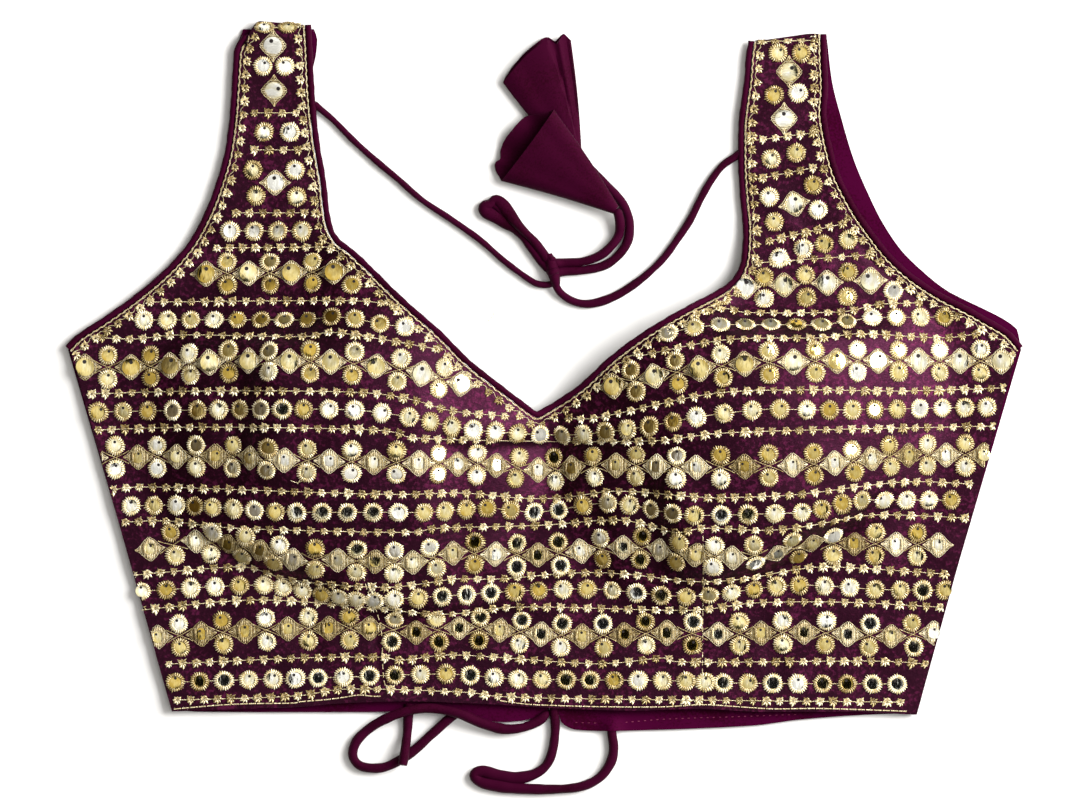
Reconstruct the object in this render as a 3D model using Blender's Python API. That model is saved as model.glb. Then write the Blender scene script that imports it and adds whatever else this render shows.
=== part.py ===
"""Choli blouse laid out flat: a padded front, two plain backs, bindings, ties and tassels.

Lengths are in millimetres until the meshes are made, which are in metres.
X runs across the blouse, Y up towards the shoulders, Z up off the surface it lies on.
"""
import math

import bpy
import numpy as np

MM = 0.001

# Middle of the garment without its cords, which becomes the world's origin
MIDDLE = (0.15, -0.94)

# Walls and seams
FRONT_WALL = 2.0
BACK_WALL = 1.2
SEAM_GAP = 0.3
BINDING_WIDTH = 3.0
BINDING_HEIGHT = 2.4
FRONT_REST = BACK_WALL + SEAM_GAP + 0.5 * FRONT_WALL

# Mesh steps of the front and the backs
HALF_COLUMNS = 23
LOWER_ROWS = 19
SIDE_ROWS = 4
STRAP_ROWS = 19
STRAP_CROWDING = 1.12
BACK_COLUMNS = 16
BACK_HEM_SHARES = (0.0, 0.12, 0.3, 0.65)
BACK_CENTRE_ROWS = 4
BACK_SIDE_ROWS = 7
BACK_STRAP_ROWS = 12
EDGE_STATIONS = 48
EDGE_CROWDING = 1.25
BINDING_SIDES = 8
SLOPE_REACH = 1.5
CURVE_DIVISIONS = 16

# Levels that divide the front: the point of the V neck, the two strap tops
V_POINT = (-3.4, -20.9)
STRAP_TOP_LEFT = 168.0
STRAP_TOP_RIGHT = 162.3

# Outer edge of each armhole binding, from the underarm point to the strap top: (up, across)
ARMHOLE_LEFT = [
    (13.9, -229.7), (19.2, -224.5), (26.4, -213.5), (36.0, -199.7), (45.6, -187.7),
    (55.2, -177.6), (64.8, -169.9), (74.4, -164.6), (84.0, -160.3), (93.6, -157.0),
    (108.0, -153.1), (127.2, -150.7), (141.6, -149.8), (156.0, -148.8), (162.7, -147.4),
    (168.0, -144.8),
]
ARMHOLE_RIGHT = [
    (13.9, 229.9), (21.5, 223.0), (26.5, 214.5), (32.5, 204.0), (39.4, 190.5),
    (48.0, 177.5), (58.0, 166.6), (68.6, 158.2), (78.2, 151.4), (88.8, 145.6),
    (97.4, 141.6), (107.0, 138.9), (116.6, 136.8), (126.0, 135.6), (138.0, 136.4),
    (151.2, 135.8), (162.3, 135.6),
]

# Outer edge of the neck binding, from the V point to each strap top: (up, across)
NECK_LEFT = [
    (-17.4, -3.8), (-12.0, -11.0), (-2.4, -23.5), (7.2, -35.5), (21.6, -49.9),
    (31.2, -61.0), (40.8, -71.5), (50.4, -81.1), (60.0, -91.2), (67.0, -99.8),
    (76.8, -102.7), (93.6, -104.6), (110.4, -107.5), (127.2, -109.4), (141.6, -110.4),
    (156.0, -111.0), (168.0, -111.8),
]
NECK_RIGHT = [
    (-17.4, -3.0), (-12.0, 6.2), (-4.3, 17.3), (2.4, 24.5), (7.2, 29.5),
    (16.8, 41.8), (26.4, 56.6), (36.0, 74.0), (42.4, 86.0), (49.0, 92.4),
    (57.0, 94.8), (69.6, 95.4), (84.0, 94.1), (103.2, 93.1), (117.6, 93.1),
    (132.0, 94.6), (141.6, 96.0), (156.0, 97.0), (162.3, 98.0),
]

# Side seams run straight from the underarm to the hem
HEM_CORNER_LEFT = (-178.6, -161.4)
HEM_CORNER_RIGHT = (178.4, -163.0)

# Lower edge of the front: (across, up)
FRONT_HEM = [
    (-178.6, -161.4), (-150.0, -160.4), (-117.0, -159.2), (-98.0, -157.6), (-69.0, -156.6),
    (-21.0, -158.2), (8.0, -160.0), (41.0, -161.0), (75.0, -160.2), (104.0, -161.6),
    (147.0, -161.6), (178.4, -163.0),
]

# Lower edges of the backs: (across, up)
BACK_HEM_LEFT = [
    (-178.0, -160.4), (-166.0, -161.6), (-132.0, -161.8), (-98.0, -161.8), (-86.0, -161.0),
    (-76.0, -158.9), (-60.0, -157.6), (-45.0, -158.6), (-31.0, -162.6), (-20.0, -165.6),
    (-11.0, -164.8), (-5.0, -162.2), (-0.5, -157.4),
]
BACK_HEM_RIGHT = [
    (7.9, -158.5), (10.1, -163.8), (14.9, -168.6), (29.3, -170.9), (51.0, -170.4),
    (75.0, -169.6), (101.0, -168.2), (123.0, -165.4), (152.0, -163.2), (178.0, -162.2),
]
BACK_LEVEL = -100.0

# Neck and centre edges of the backs, hidden under the front: (up, across)
BACK_NECK_LEFT = [
    (-100.0, -0.7), (-56.0, -1.2), (-50.0, -8.0), (-44.0, -25.0), (-36.0, -42.0),
    (-24.0, -58.0), (-8.0, -74.0), (15.0, -90.0), (45.0, -102.0), (80.0, -107.5),
    (120.0, -112.0), (141.0, -112.0), (154.0, -109.4), (161.0, -108.8), (166.0, -110.4),
]
BACK_NECK_RIGHT = [
    (-100.0, 8.4), (-56.0, 8.8), (-50.0, 15.0), (-42.0, 33.0), (-28.0, 52.0),
    (-4.0, 71.0), (28.0, 89.0), (60.0, 98.0), (100.0, 98.5), (150.0, 101.0),
    (161.0, 102.5),
]

# Outer edges of the backs above the underarm: (up, across)
BACK_ARMHOLE_LEFT = [
    (12.0, -228.4), (19.2, -223.0), (26.4, -211.5), (36.0, -198.0), (45.6, -186.2),
    (55.2, -176.2), (64.8, -168.6), (84.0, -159.0), (108.0, -152.0), (141.6, -148.8),
    (156.0, -147.8), (166.0, -144.4),
]
BACK_ARMHOLE_RIGHT = [
    (12.0, 229.0), (21.6, 227.2), (26.4, 221.3), (31.2, 212.2), (36.0, 202.1),
    (40.8, 193.0), (50.4, 181.0), (60.0, 171.4), (74.4, 161.8), (84.0, 157.0),
    (103.2, 148.8), (122.4, 143.0), (141.6, 138.2), (161.0, 135.9),
]

# Padded cups: centre, reach to each side, height over the resting cloth
CUPS = [
    dict(across=-90.0, up=-14.0, outward=108.0, inward=98.0, above=96.0, below=122.0,
         height=27.0),
    dict(across=94.0, up=-14.0, outward=108.0, inward=98.0, above=96.0, below=122.0,
         height=28.0),
]
CUP_ROUNDNESS = 1.35

# Crease under the bust: (across, up, softness, share of the height kept below it)
UNDERBUST = [
    (-230.0, -66.0, 14.0, 0.60), (-206.0, -70.0, 10.0, 0.50), (-167.0, -74.0, 8.0, 0.30),
    (-141.0, -86.0, 8.0, 0.22), (-107.0, -101.0, 8.0, 0.20), (-86.0, -109.0, 9.0, 0.25),
    (-40.0, -114.0, 18.0, 0.50), (0.0, -112.0, 20.0, 0.60), (45.0, -106.0, 17.0, 0.50),
    (82.0, -100.0, 9.0, 0.25), (104.0, -91.0, 8.0, 0.20), (123.0, -81.0, 8.0, 0.22),
    (147.0, -69.0, 9.0, 0.30), (167.0, -60.0, 10.0, 0.40), (200.0, -54.0, 14.0, 0.55),
    (230.0, -50.0, 16.0, 0.60),
]

# Crease over the bust, below each strap
OVERBUST = [
    (-230.0, 20.0, 10.0, 0.60), (-182.0, 20.0, 8.0, 0.50), (-150.0, 20.0, 7.0, 0.45),
    (-117.0, 20.0, 8.0, 0.50), (-96.0, 24.0, 14.0, 0.85), (-60.0, 30.0, 18.0, 0.95),
    (0.0, 30.0, 18.0, 1.00), (50.0, 28.0, 16.0, 0.95), (80.0, 26.0, 11.0, 0.55),
    (100.0, 24.0, 9.0, 0.32), (150.0, 25.0, 9.0, 0.32), (172.0, 27.0, 10.0, 0.45),
    (230.0, 24.0, 12.0, 0.60),
]

# Reach of the fall to each side seam, and how softly the cloth meets the backs
SIDE_FALL = 46.0
SIDE_START = -4.0
REST_SOFTNESS = 0.7

# Slight unevenness all over: height and wave lengths
UNEVEN = 0.5
UNEVEN_WAVES = (31.0, 47.0, 23.0, 61.0)

# Largest folds, a row each: ends, half width, step across it (left side high), ridge
FOLDS = [
    dict(ends=(-157.9, 61.4, -100.3, 61.4), width=5.5, step=1.5, ridge=0.0),
    dict(ends=(-47.5, -31.2, 70.1, -31.7), width=5.5, step=1.9, ridge=0.0),
    dict(ends=(-78.7, -113.8, -1.9, -112.8), width=5.0, step=1.6, ridge=0.0),
    dict(ends=(-136.0, 12.0, -141.0, -50.0), width=9.0, step=2.4, ridge=0.0),
    dict(ends=(53.0, -45.0, 63.0, -90.0), width=8.0, step=2.6, ridge=0.0),
    dict(ends=(-50.0, -80.0, -52.0, -5.0), width=10.0, step=1.5, ridge=0.0),
    dict(ends=(6.2, -24.0, 6.2, -62.0), width=6.0, step=0.0, ridge=-2.2),
    dict(ends=(155.5, 62.4, 197.3, 27.4), width=5.5, step=0.0, ridge=-2.6),
]

# Reach of the fade at each end of a fold, in half widths
FOLD_FADE = 1.6

# Hem of the front stands a little clear of the backs
HEM_LIFT = 1.2
HEM_LIFT_START = -138.0
HEM_LIFT_END = -160.0
HEM_SIDE_REACH = 30.0

# Round cords: diameters, and the stations (across, up) of each middle line
NECK_CORD = 3.8
BOW_CORD = 4.4
HEM_CORD = 4.6
CORD_CLEARANCE = 0.05
CORD_STEP = 2.0
CORD_LEFT = [
    (-107.8, 128.0), (-100.8, 122.0), (-91.7, 112.8), (-81.1, 103.2), (-69.6, 93.6),
    (-58.6, 84.0), (-44.2, 74.4), (-30.7, 64.8), (-19.7, 55.2), (-9.1, 47.6),
    (-3.6, 44.6), (1.0, 43.8),
]
CORD_RIGHT = [
    (91.8, 104.8), (85.6, 100.4), (79.7, 92.6), (74.9, 84.0), (70.1, 74.4),
    (63.8, 64.8), (56.6, 55.2), (46.1, 45.6), (34.1, 37.9), (23.0, 34.3),
    (14.6, 35.8), (6.5, 41.6),
]
BOW_LOOP = [
    (0.5, 59.0), (-4.8, 64.8), (-11.5, 73.2), (-18.2, 80.6), (-23.5, 84.2),
    (-27.9, 82.6), (-27.4, 78.4), (-22.8, 74.6), (-17.2, 70.4), (-11.8, 64.4),
    (-6.4, 57.2), (-2.2, 52.4),
]
TAIL_OUTER = [
    (9.3, 48.2), (19.7, 48.6), (30.2, 52.0), (37.6, 58.2), (41.4, 66.2),
    (41.9, 76.0), (39.0, 85.2), (34.0, 92.2), (25.0, 99.8),
]
TAIL_INNER = [
    (9.1, 53.2), (18.2, 53.6), (26.6, 56.8), (32.4, 62.0), (35.6, 68.6),
    (36.2, 74.0), (34.9, 78.9),
]
HEM_LOOP = [
    (-0.4, -166.2), (-4.4, -168.6), (-10.2, -171.4), (-20.0, -172.8), (-30.4, -169.8),
    (-41.0, -163.4), (-54.7, -159.9), (-66.3, -161.4), (-76.8, -165.4), (-84.5, -170.2),
    (-90.2, -176.2), (-91.7, -182.9), (-87.8, -187.7), (-78.7, -188.6), (-70.9, -185.8),
]
HEM_LOOP_END = [
    (-62.2, -180.0), (-55.2, -173.6), (-50.4, -169.3), (-46.5, -165.9),
]
HEM_FREE_END = [
    (-65.2, -164.7), (-65.6, -171.6), (-66.6, -179.4), (-67.7, -186.2),
]
HEM_TIE = [
    (4.4, -160.8), (5.4, -170.0), (3.8, -181.0), (0.6, -187.0), (-5.4, -191.2),
    (-13.9, -192.4), (-22.6, -190.6), (-30.4, -188.4), (-34.0, -190.2), (-32.4, -194.0),
    (-24.8, -197.4), (-12.0, -198.8), (4.0, -198.8), (17.3, -197.6), (26.4, -193.4),
    (31.7, -186.6), (33.4, -179.6), (32.4, -171.5),
]

# Tassels: flattened cones of cloth, open at the mouth
TASSELS = [
    dict(name="tassel_upper", tip=(24.2, 101.0, 2.7), corner_left=(-19.7, 140.2, 2.9),
         corner_right=(12.5, 162.2, 4.2), tip_half=2.2, mouth_half=2.7, lip=3.0),
    dict(name="tassel_lower", tip=(33.4, 80.6, 5.6), corner_left=(-20.6, 93.1, 4.0),
         corner_right=(4.8, 127.2, 10.8), tip_half=2.3, mouth_half=4.2, lip=6.0),
]
TASSEL_WALL = 1.0
TASSEL_RINGS = 9
TASSEL_SIDES = 16
TASSEL_BOW = 1.4
TASSEL_LIP_ROUNDING = 0.6

# Knot that joins the neck cords
KNOT_CENTRE = (4.2, 50.4, 4.3)
KNOT_SIZE = (9.0, 15.0, 8.4)
KNOT_TURN = 14.0
KNOT_WRAPS = 3
KNOT_WRAP_DEPTH = 0.10
KNOT_FULLNESS = 0.55
KNOT_ROWS = 15
KNOT_SIDES = 14

WINE = (0.068, 0.008, 0.030)
WINE_FRONT = (0.085, 0.012, 0.060)


def clear_scene():
    for thing in list(bpy.data.objects):
        bpy.data.objects.remove(thing, do_unlink=True)


def ease(low, high, value):
    share = min(max((value - low) / (high - low), 0.0), 1.0)
    return share * share * (3.0 - 2.0 * share)


def smooth_read(rows, column, at):
    """Value of a column at a station, on a curve through the table's rows."""
    keys = [row[0] for row in rows]
    values = [row[column] for row in rows]
    if at <= keys[0]:
        return values[0]
    if at >= keys[-1]:
        return values[-1]
    index = max(k for k in range(len(keys) - 1) if keys[k] <= at)
    steps = [(values[k + 1] - values[k]) / (keys[k + 1] - keys[k]) for k in range(len(keys) - 1)]
    slopes = [steps[0]] + [0.0] * (len(keys) - 2) + [steps[-1]]
    for k in range(1, len(keys) - 1):
        if steps[k - 1] * steps[k] > 0.0:
            slopes[k] = 2.0 * steps[k - 1] * steps[k] / (steps[k - 1] + steps[k])
    span = keys[index + 1] - keys[index]
    t = (at - keys[index]) / span
    start = (1.0 + 2.0 * t) * (1.0 - t) ** 2 * values[index]
    end = t * t * (3.0 - 2.0 * t) * values[index + 1]
    lead = t * (1.0 - t) ** 2 * span * slopes[index]
    trail = t * t * (t - 1.0) * span * slopes[index + 1]
    return start + end + lead + trail


def line_read(points, level):
    """Across position of a polyline of (across, up) points at a level."""
    for (xa, ya), (xb, yb) in zip(points[:-1], points[1:]):
        if ya <= level <= yb:
            return xa + (xb - xa) * (level - ya) / max(yb - ya, 1e-6)
    return points[0][0] if level < points[0][1] else points[-1][0]


def offset_line(points, distance):
    """Polyline moved sideways, to its left for a positive distance, with mitred corners."""
    moved = []
    for k, (x, y) in enumerate(points):
        before = points[max(k - 1, 0)]
        after = points[min(k + 1, len(points) - 1)]
        first = np.array([x - before[0], y - before[1]])
        second = np.array([after[0] - x, after[1] - y])
        if k == 0:
            first = second
        if k == len(points) - 1:
            second = first
        first = first / np.linalg.norm(first)
        second = second / np.linalg.norm(second)
        normal = np.array([-(first[1] + second[1]), first[0] + second[0]])
        normal = normal / np.linalg.norm(normal)
        spread = max(float(np.dot(normal, np.array([-first[1], first[0]]))), 0.5)
        moved.append((x + normal[0] * distance / spread, y + normal[1] * distance / spread))
    return moved


def edge_line(table, top, inward):
    """Edge of the front inside its binding, as (across, up) points from the table's start."""
    start = table[0][0]
    levels = [start + (top - start) * (k / EDGE_STATIONS) ** EDGE_CROWDING
              for k in range(EDGE_STATIONS + 1)]
    outline = [(smooth_read(table, 1, level), level) for level in levels]
    return offset_line(outline, inward)


INSET = BINDING_WIDTH + SEAM_GAP
EDGE_ARM_LEFT = edge_line(ARMHOLE_LEFT, STRAP_TOP_LEFT, -INSET)
EDGE_ARM_RIGHT = edge_line(ARMHOLE_RIGHT, STRAP_TOP_RIGHT, INSET)
EDGE_NECK_LEFT = edge_line(NECK_LEFT, STRAP_TOP_LEFT, INSET)
EDGE_NECK_RIGHT = edge_line(NECK_RIGHT, STRAP_TOP_RIGHT, -INSET)
UNDERARM_LEFT = EDGE_ARM_LEFT[0]
UNDERARM_RIGHT = EDGE_ARM_RIGHT[0]


def side_edge(level, left):
    """Across position of the side seam or armhole edge at a level."""
    corner = UNDERARM_LEFT if left else UNDERARM_RIGHT
    low = HEM_CORNER_LEFT if left else HEM_CORNER_RIGHT
    if level <= corner[1]:
        return low[0] + (corner[0] - low[0]) * (level - low[1]) / (corner[1] - low[1])
    return line_read(EDGE_ARM_LEFT if left else EDGE_ARM_RIGHT, level)


def neck_edge(level, left):
    if level <= V_POINT[1]:
        return V_POINT[0]
    edge = EDGE_NECK_LEFT if left else EDGE_NECK_RIGHT
    edge = [V_POINT] + [point for point in edge if point[1] > V_POINT[1] + 0.5]
    return line_read(edge, level)


def fold_lift(x, y, fold):
    ax, ay, bx, by = fold["ends"]
    length = math.hypot(bx - ax, by - ay)
    ux, uy = (bx - ax) / length, (by - ay) / length
    along = (x - ax) * ux + (y - ay) * uy
    across = ((y - ay) * ux - (x - ax) * uy) / fold["width"]
    reach = FOLD_FADE * fold["width"]
    fade = ease(-reach, reach, along) * ease(-reach, reach, length - along)
    step = fold["step"] * across * math.exp(0.5 * (1.0 - across * across))
    return fade * (step + fold["ridge"] * math.exp(-across * across))


def front_height(x, y):
    """Height of the middle of the front's wall above the surface."""
    lift = 0.0
    for cup in CUPS:
        outward = (x - cup["across"]) * cup["across"] > 0.0
        reach_x = cup["outward"] if outward else cup["inward"]
        reach_y = cup["above"] if y > cup["up"] else cup["below"]
        spread = ((x - cup["across"]) / reach_x) ** 2 + ((y - cup["up"]) / reach_y) ** 2
        if spread < 1.0:
            lift += cup["height"] * (1.0 - spread) ** CUP_ROUNDNESS
    under = [smooth_read(UNDERBUST, column, x) for column in (1, 2, 3)]
    over = [smooth_read(OVERBUST, column, x) for column in (1, 2, 3)]
    lift *= 1.0 - (1.0 - under[2]) * ease(-under[1], under[1], under[0] - y)
    lift *= 1.0 - (1.0 - over[2]) * ease(-over[1], over[1], y - over[0])
    lift += sum(fold_lift(x, y, fold) for fold in FOLDS)
    first, second, third, fourth = UNEVEN_WAVES
    lift += UNEVEN * (1.0 + math.sin(x / first + y / second) * math.sin(y / third - x / fourth))
    level = min(max(y, HEM_CORNER_LEFT[1]), UNDERARM_LEFT[1])
    inside = min(x - side_edge(level, True), side_edge(level, False) - x)
    lift *= ease(SIDE_START, SIDE_FALL, inside)
    lift += HEM_LIFT * ease(HEM_LIFT_START, HEM_LIFT_END, y) * ease(0.0, HEM_SIDE_REACH, inside)
    return FRONT_REST + 0.5 * (lift + math.hypot(lift, REST_SOFTNESS))


def front_rows():
    """Plan grid: lower rows over the full width, then a block for each strap."""
    lower = []
    for row in range(LOWER_ROWS + 1):
        share = row / LOWER_ROWS
        line = []
        for column in range(2 * HALF_COLUMNS + 1):
            across = column / HALF_COLUMNS
            level = V_POINT[1] + (HEM_CORNER_LEFT[1] - V_POINT[1]) * (1.0 - share)
            left = side_edge(level, True)
            right = side_edge(level, False)
            if across <= 1.0:
                x = left + (V_POINT[0] - left) * across
            else:
                x = V_POINT[0] + (right - V_POINT[0]) * (across - 1.0)
            hem = smooth_read(FRONT_HEM, 1, x)
            line.append((x, hem + (V_POINT[1] - hem) * share))
        lower.append(line)
    blocks = []
    for left, corner, top in ((True, UNDERARM_LEFT, STRAP_TOP_LEFT),
                              (False, UNDERARM_RIGHT, STRAP_TOP_RIGHT)):
        levels = [V_POINT[1] + (corner[1] - V_POINT[1]) * k / SIDE_ROWS
                  for k in range(1, SIDE_ROWS + 1)]
        levels += [corner[1] + (top - corner[1]) * (k / STRAP_ROWS) ** STRAP_CROWDING
                   for k in range(1, STRAP_ROWS + 1)]
        block = []
        for level in levels:
            outer = side_edge(level, left)
            inner = neck_edge(level, left)
            line = [(outer + (inner - outer) * k / HALF_COLUMNS, level)
                    for k in range(HALF_COLUMNS + 1)]
            block.append(line if left else line[::-1])
        blocks.append(block)
    return lower, blocks[0], blocks[1]


def make_material(name, colour, roughness, metallic=0.0):
    material = bpy.data.materials.new(name)
    material.use_nodes = True
    shader = material.node_tree.nodes["Principled BSDF"]
    shader.inputs["Base Color"].default_value = (*colour, 1.0)
    shader.inputs["Roughness"].default_value = roughness
    shader.inputs["Metallic"].default_value = metallic
    return material


def make_mesh(name, points, faces, material):
    mesh = bpy.data.meshes.new(name)
    scaled = [((x - MIDDLE[0]) * MM, (y - MIDDLE[1]) * MM, z * MM) for x, y, z in points]
    mesh.from_pydata(scaled, [], faces)
    mesh.validate()
    mesh.update()
    thing = bpy.data.objects.new(name, mesh)
    bpy.context.scene.collection.objects.link(thing)
    thing.data.materials.append(material)
    return thing


def rim_loop(quads):
    """Directed edges of the sheet that only one face uses."""
    edges = {}
    for quad in quads:
        for k in range(4):
            pair = (quad[k], quad[(k + 1) % 4])
            if (pair[1], pair[0]) in edges:
                del edges[(pair[1], pair[0])]
            else:
                edges[pair] = True
    return list(edges)


def thick_sheet(name, plan, quads, height, wall, material):
    """Closed wall on both sides of a plan grid lifted to a height function."""
    rim = rim_loop(quads)
    on_rim = {index for pair in rim for index in pair}
    top, bottom = [], []
    for index, (x, y) in enumerate(plan):
        z = height(x, y)
        normal = np.array([0.0, 0.0, 1.0])
        if index not in on_rim:
            slope_x = (height(x + SLOPE_REACH, y) - height(x - SLOPE_REACH, y)) / (2.0 * SLOPE_REACH)
            slope_y = (height(x, y + SLOPE_REACH) - height(x, y - SLOPE_REACH)) / (2.0 * SLOPE_REACH)
            normal = np.array([-slope_x, -slope_y, 1.0])
            normal = normal / np.linalg.norm(normal)
        place = np.array([x, y, z])
        top.append(tuple(place + normal * 0.5 * wall))
        bottom.append(tuple(place - normal * 0.5 * wall))
    count = len(plan)
    faces = [tuple(quad) for quad in quads]
    faces += [tuple(index + count for index in reversed(quad)) for quad in quads]
    faces += [(b, a, a + count, b + count) for a, b in rim]
    return make_mesh(name, top + bottom, faces, material)


def front_panel(material):
    lower, left, right = front_rows()
    plan = []
    index = {}
    for block, lines in (("lower", lower), ("left", left), ("right", right)):
        for row, line in enumerate(lines):
            for column, point in enumerate(line):
                index[(block, row, column)] = len(plan)
                plan.append(point)
    quads = []

    def strip(below, above, columns):
        for k in range(columns):
            quads.append((below[k], below[k + 1], above[k + 1], above[k]))

    def row_of(block, row, start, columns):
        return [index[(block, row, start + k)] for k in range(columns + 1)]

    for row in range(LOWER_ROWS):
        strip(row_of("lower", row, 0, 2 * HALF_COLUMNS),
              row_of("lower", row + 1, 0, 2 * HALF_COLUMNS), 2 * HALF_COLUMNS)
    for block, lines, start in (("left", left, 0), ("right", right, HALF_COLUMNS)):
        below = row_of("lower", LOWER_ROWS, start, HALF_COLUMNS)
        for row in range(len(lines)):
            above = row_of(block, row, 0, HALF_COLUMNS)
            strip(below, above, HALF_COLUMNS)
            below = above
    thick_sheet("front_panel", plan, quads, front_height, FRONT_WALL, material)


def binding(name, line, material):
    """Rounded strip swept along an edge, clear of it by the seam gap."""
    centre = offset_line(line, SEAM_GAP + 0.5 * BINDING_WIDTH)
    rings = []
    for k, (x, y) in enumerate(centre):
        z = front_height(*line[k])
        toward = np.array([line[k][0] - x, line[k][1] - y, 0.0])
        toward = toward / np.linalg.norm(toward)
        ring = []
        for side in range(BINDING_SIDES):
            angle = 2.0 * math.pi * (side + 0.5) / BINDING_SIDES
            out = 0.5 * BINDING_WIDTH * math.cos(angle)
            up = 0.5 * BINDING_HEIGHT * math.sin(angle)
            ring.append((x + toward[0] * out, y + toward[1] * out, z + up))
        rings.append(ring)
    points = [point for ring in rings for point in ring]
    faces = []
    for k in range(len(rings) - 1):
        for side in range(BINDING_SIDES):
            a = k * BINDING_SIDES + side
            b = k * BINDING_SIDES + (side + 1) % BINDING_SIDES
            faces.append((a, b, b + BINDING_SIDES, a + BINDING_SIDES))
    faces.append(tuple(range(BINDING_SIDES))[::-1])
    last = (len(rings) - 1) * BINDING_SIDES
    faces.append(tuple(last + side for side in range(BINDING_SIDES)))
    return make_mesh(name, points, faces, material)


def bindings(material):
    lower, left, right = front_rows()
    rise_left = [line[-1] for line in left]
    rise_right = [line[0] for line in right]
    neck = rise_left[::-1] + [V_POINT] + rise_right
    binding("neck_binding", neck, material)
    arm_left = [line[0] for line in left if line[0][1] >= UNDERARM_LEFT[1] - 1e-6]
    arm_right = [line[-1] for line in right if line[-1][1] >= UNDERARM_RIGHT[1] - 1e-6]
    binding("armhole_binding_left", arm_left, material)
    binding("armhole_binding_right", arm_right[::-1], material)


def back_panel(name, hem, neck, armhole, left, material):
    low = hem[0] if left else hem[-1]
    corner = (armhole[0][1], armhole[0][0])

    def outer(level):
        if level <= corner[1]:
            share = (level - low[1]) / (corner[1] - low[1])
            return low[0] + (corner[0] - low[0]) * share
        return smooth_read(armhole, 1, level)

    top = min(armhole[-1][0], neck[-1][0])
    centre_top = neck[1][0]
    levels = [BACK_LEVEL + (centre_top - BACK_LEVEL) * k / BACK_CENTRE_ROWS
              for k in range(BACK_CENTRE_ROWS + 1)]
    levels += [centre_top + (corner[1] - centre_top) * k / BACK_SIDE_ROWS
               for k in range(1, BACK_SIDE_ROWS + 1)]
    levels += [corner[1] + (top - corner[1]) * (k / BACK_STRAP_ROWS) ** STRAP_CROWDING
               for k in range(1, BACK_STRAP_ROWS + 1)]
    rows = []
    for share in BACK_HEM_SHARES:
        line = []
        for k in range(BACK_COLUMNS + 1):
            level = low[1] + (BACK_LEVEL - low[1]) * share
            a, b = outer(level), neck[0][1]
            x = a + (b - a) * k / BACK_COLUMNS
            edge = smooth_read(hem, 1, x)
            line.append((x, edge + (BACK_LEVEL - edge) * share))
        rows.append(line)
    for level in levels:
        a, b = outer(level), smooth_read(neck, 1, level)
        rows.append([(a + (b - a) * k / BACK_COLUMNS, level) for k in range(BACK_COLUMNS + 1)])
    plan = [point for line in rows for point in line]
    width = BACK_COLUMNS + 1
    quads = []
    for row in range(len(rows) - 1):
        for k in range(width - 1):
            a = row * width + k
            quad = (a, a + 1, a + width + 1, a + width)
            quads.append(quad if left else quad[::-1])
    thick_sheet(name, plan, quads, lambda x, y: 0.5 * BACK_WALL, BACK_WALL, material)


def curve_points(points, step):
    """Even points on a smooth curve through the stations."""
    stations = [np.array(point, dtype=float) for point in points]
    fine = []
    for k in range(len(stations) - 1):
        p0 = stations[max(k - 1, 0)]
        p1, p2 = stations[k], stations[k + 1]
        p3 = stations[min(k + 2, len(stations) - 1)]
        for s in range(CURVE_DIVISIONS):
            t = s / CURVE_DIVISIONS
            bend = 2.0 * p0 - 5.0 * p1 + 4.0 * p2 - p3
            twist = 3.0 * p1 - p0 - 3.0 * p2 + p3
            fine.append(0.5 * (2.0 * p1 + (p2 - p0) * t + bend * t * t + twist * t ** 3))
    fine.append(stations[-1])
    walk = [0.0]
    for a, b in zip(fine[:-1], fine[1:]):
        walk.append(walk[-1] + float(np.linalg.norm(b - a)))
    count = max(int(round(walk[-1] / step)), 2)
    marks = np.linspace(0.0, walk[-1], count + 1)
    return [tuple(np.interp(mark, walk, [p[axis] for p in fine]) for axis in range(3))
            for mark in marks]


def cord(name, points, diameter, material, rise=()):
    """Round cord lying on the surface; rise gives a height for the first or last stations."""
    stations = [(x, y, 0.5 * diameter + CORD_CLEARANCE) for x, y in points]
    for index, height in rise:
        x, y, _ = stations[index]
        stations[index] = (x, y, height)
    places = curve_points(stations, CORD_STEP * diameter)
    curve = bpy.data.curves.new(name, "CURVE")
    curve.dimensions = "3D"
    curve.bevel_depth = 0.5 * diameter * MM
    curve.bevel_resolution = 2
    curve.use_fill_caps = True
    spline = curve.splines.new("POLY")
    spline.points.add(len(places) - 1)
    for point, place in zip(spline.points, places):
        point.co = ((place[0] - MIDDLE[0]) * MM, (place[1] - MIDDLE[1]) * MM, place[2] * MM, 1.0)
    thing = bpy.data.objects.new(name, curve)
    bpy.context.scene.collection.objects.link(thing)
    curve.materials.append(material)
    return thing


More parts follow.
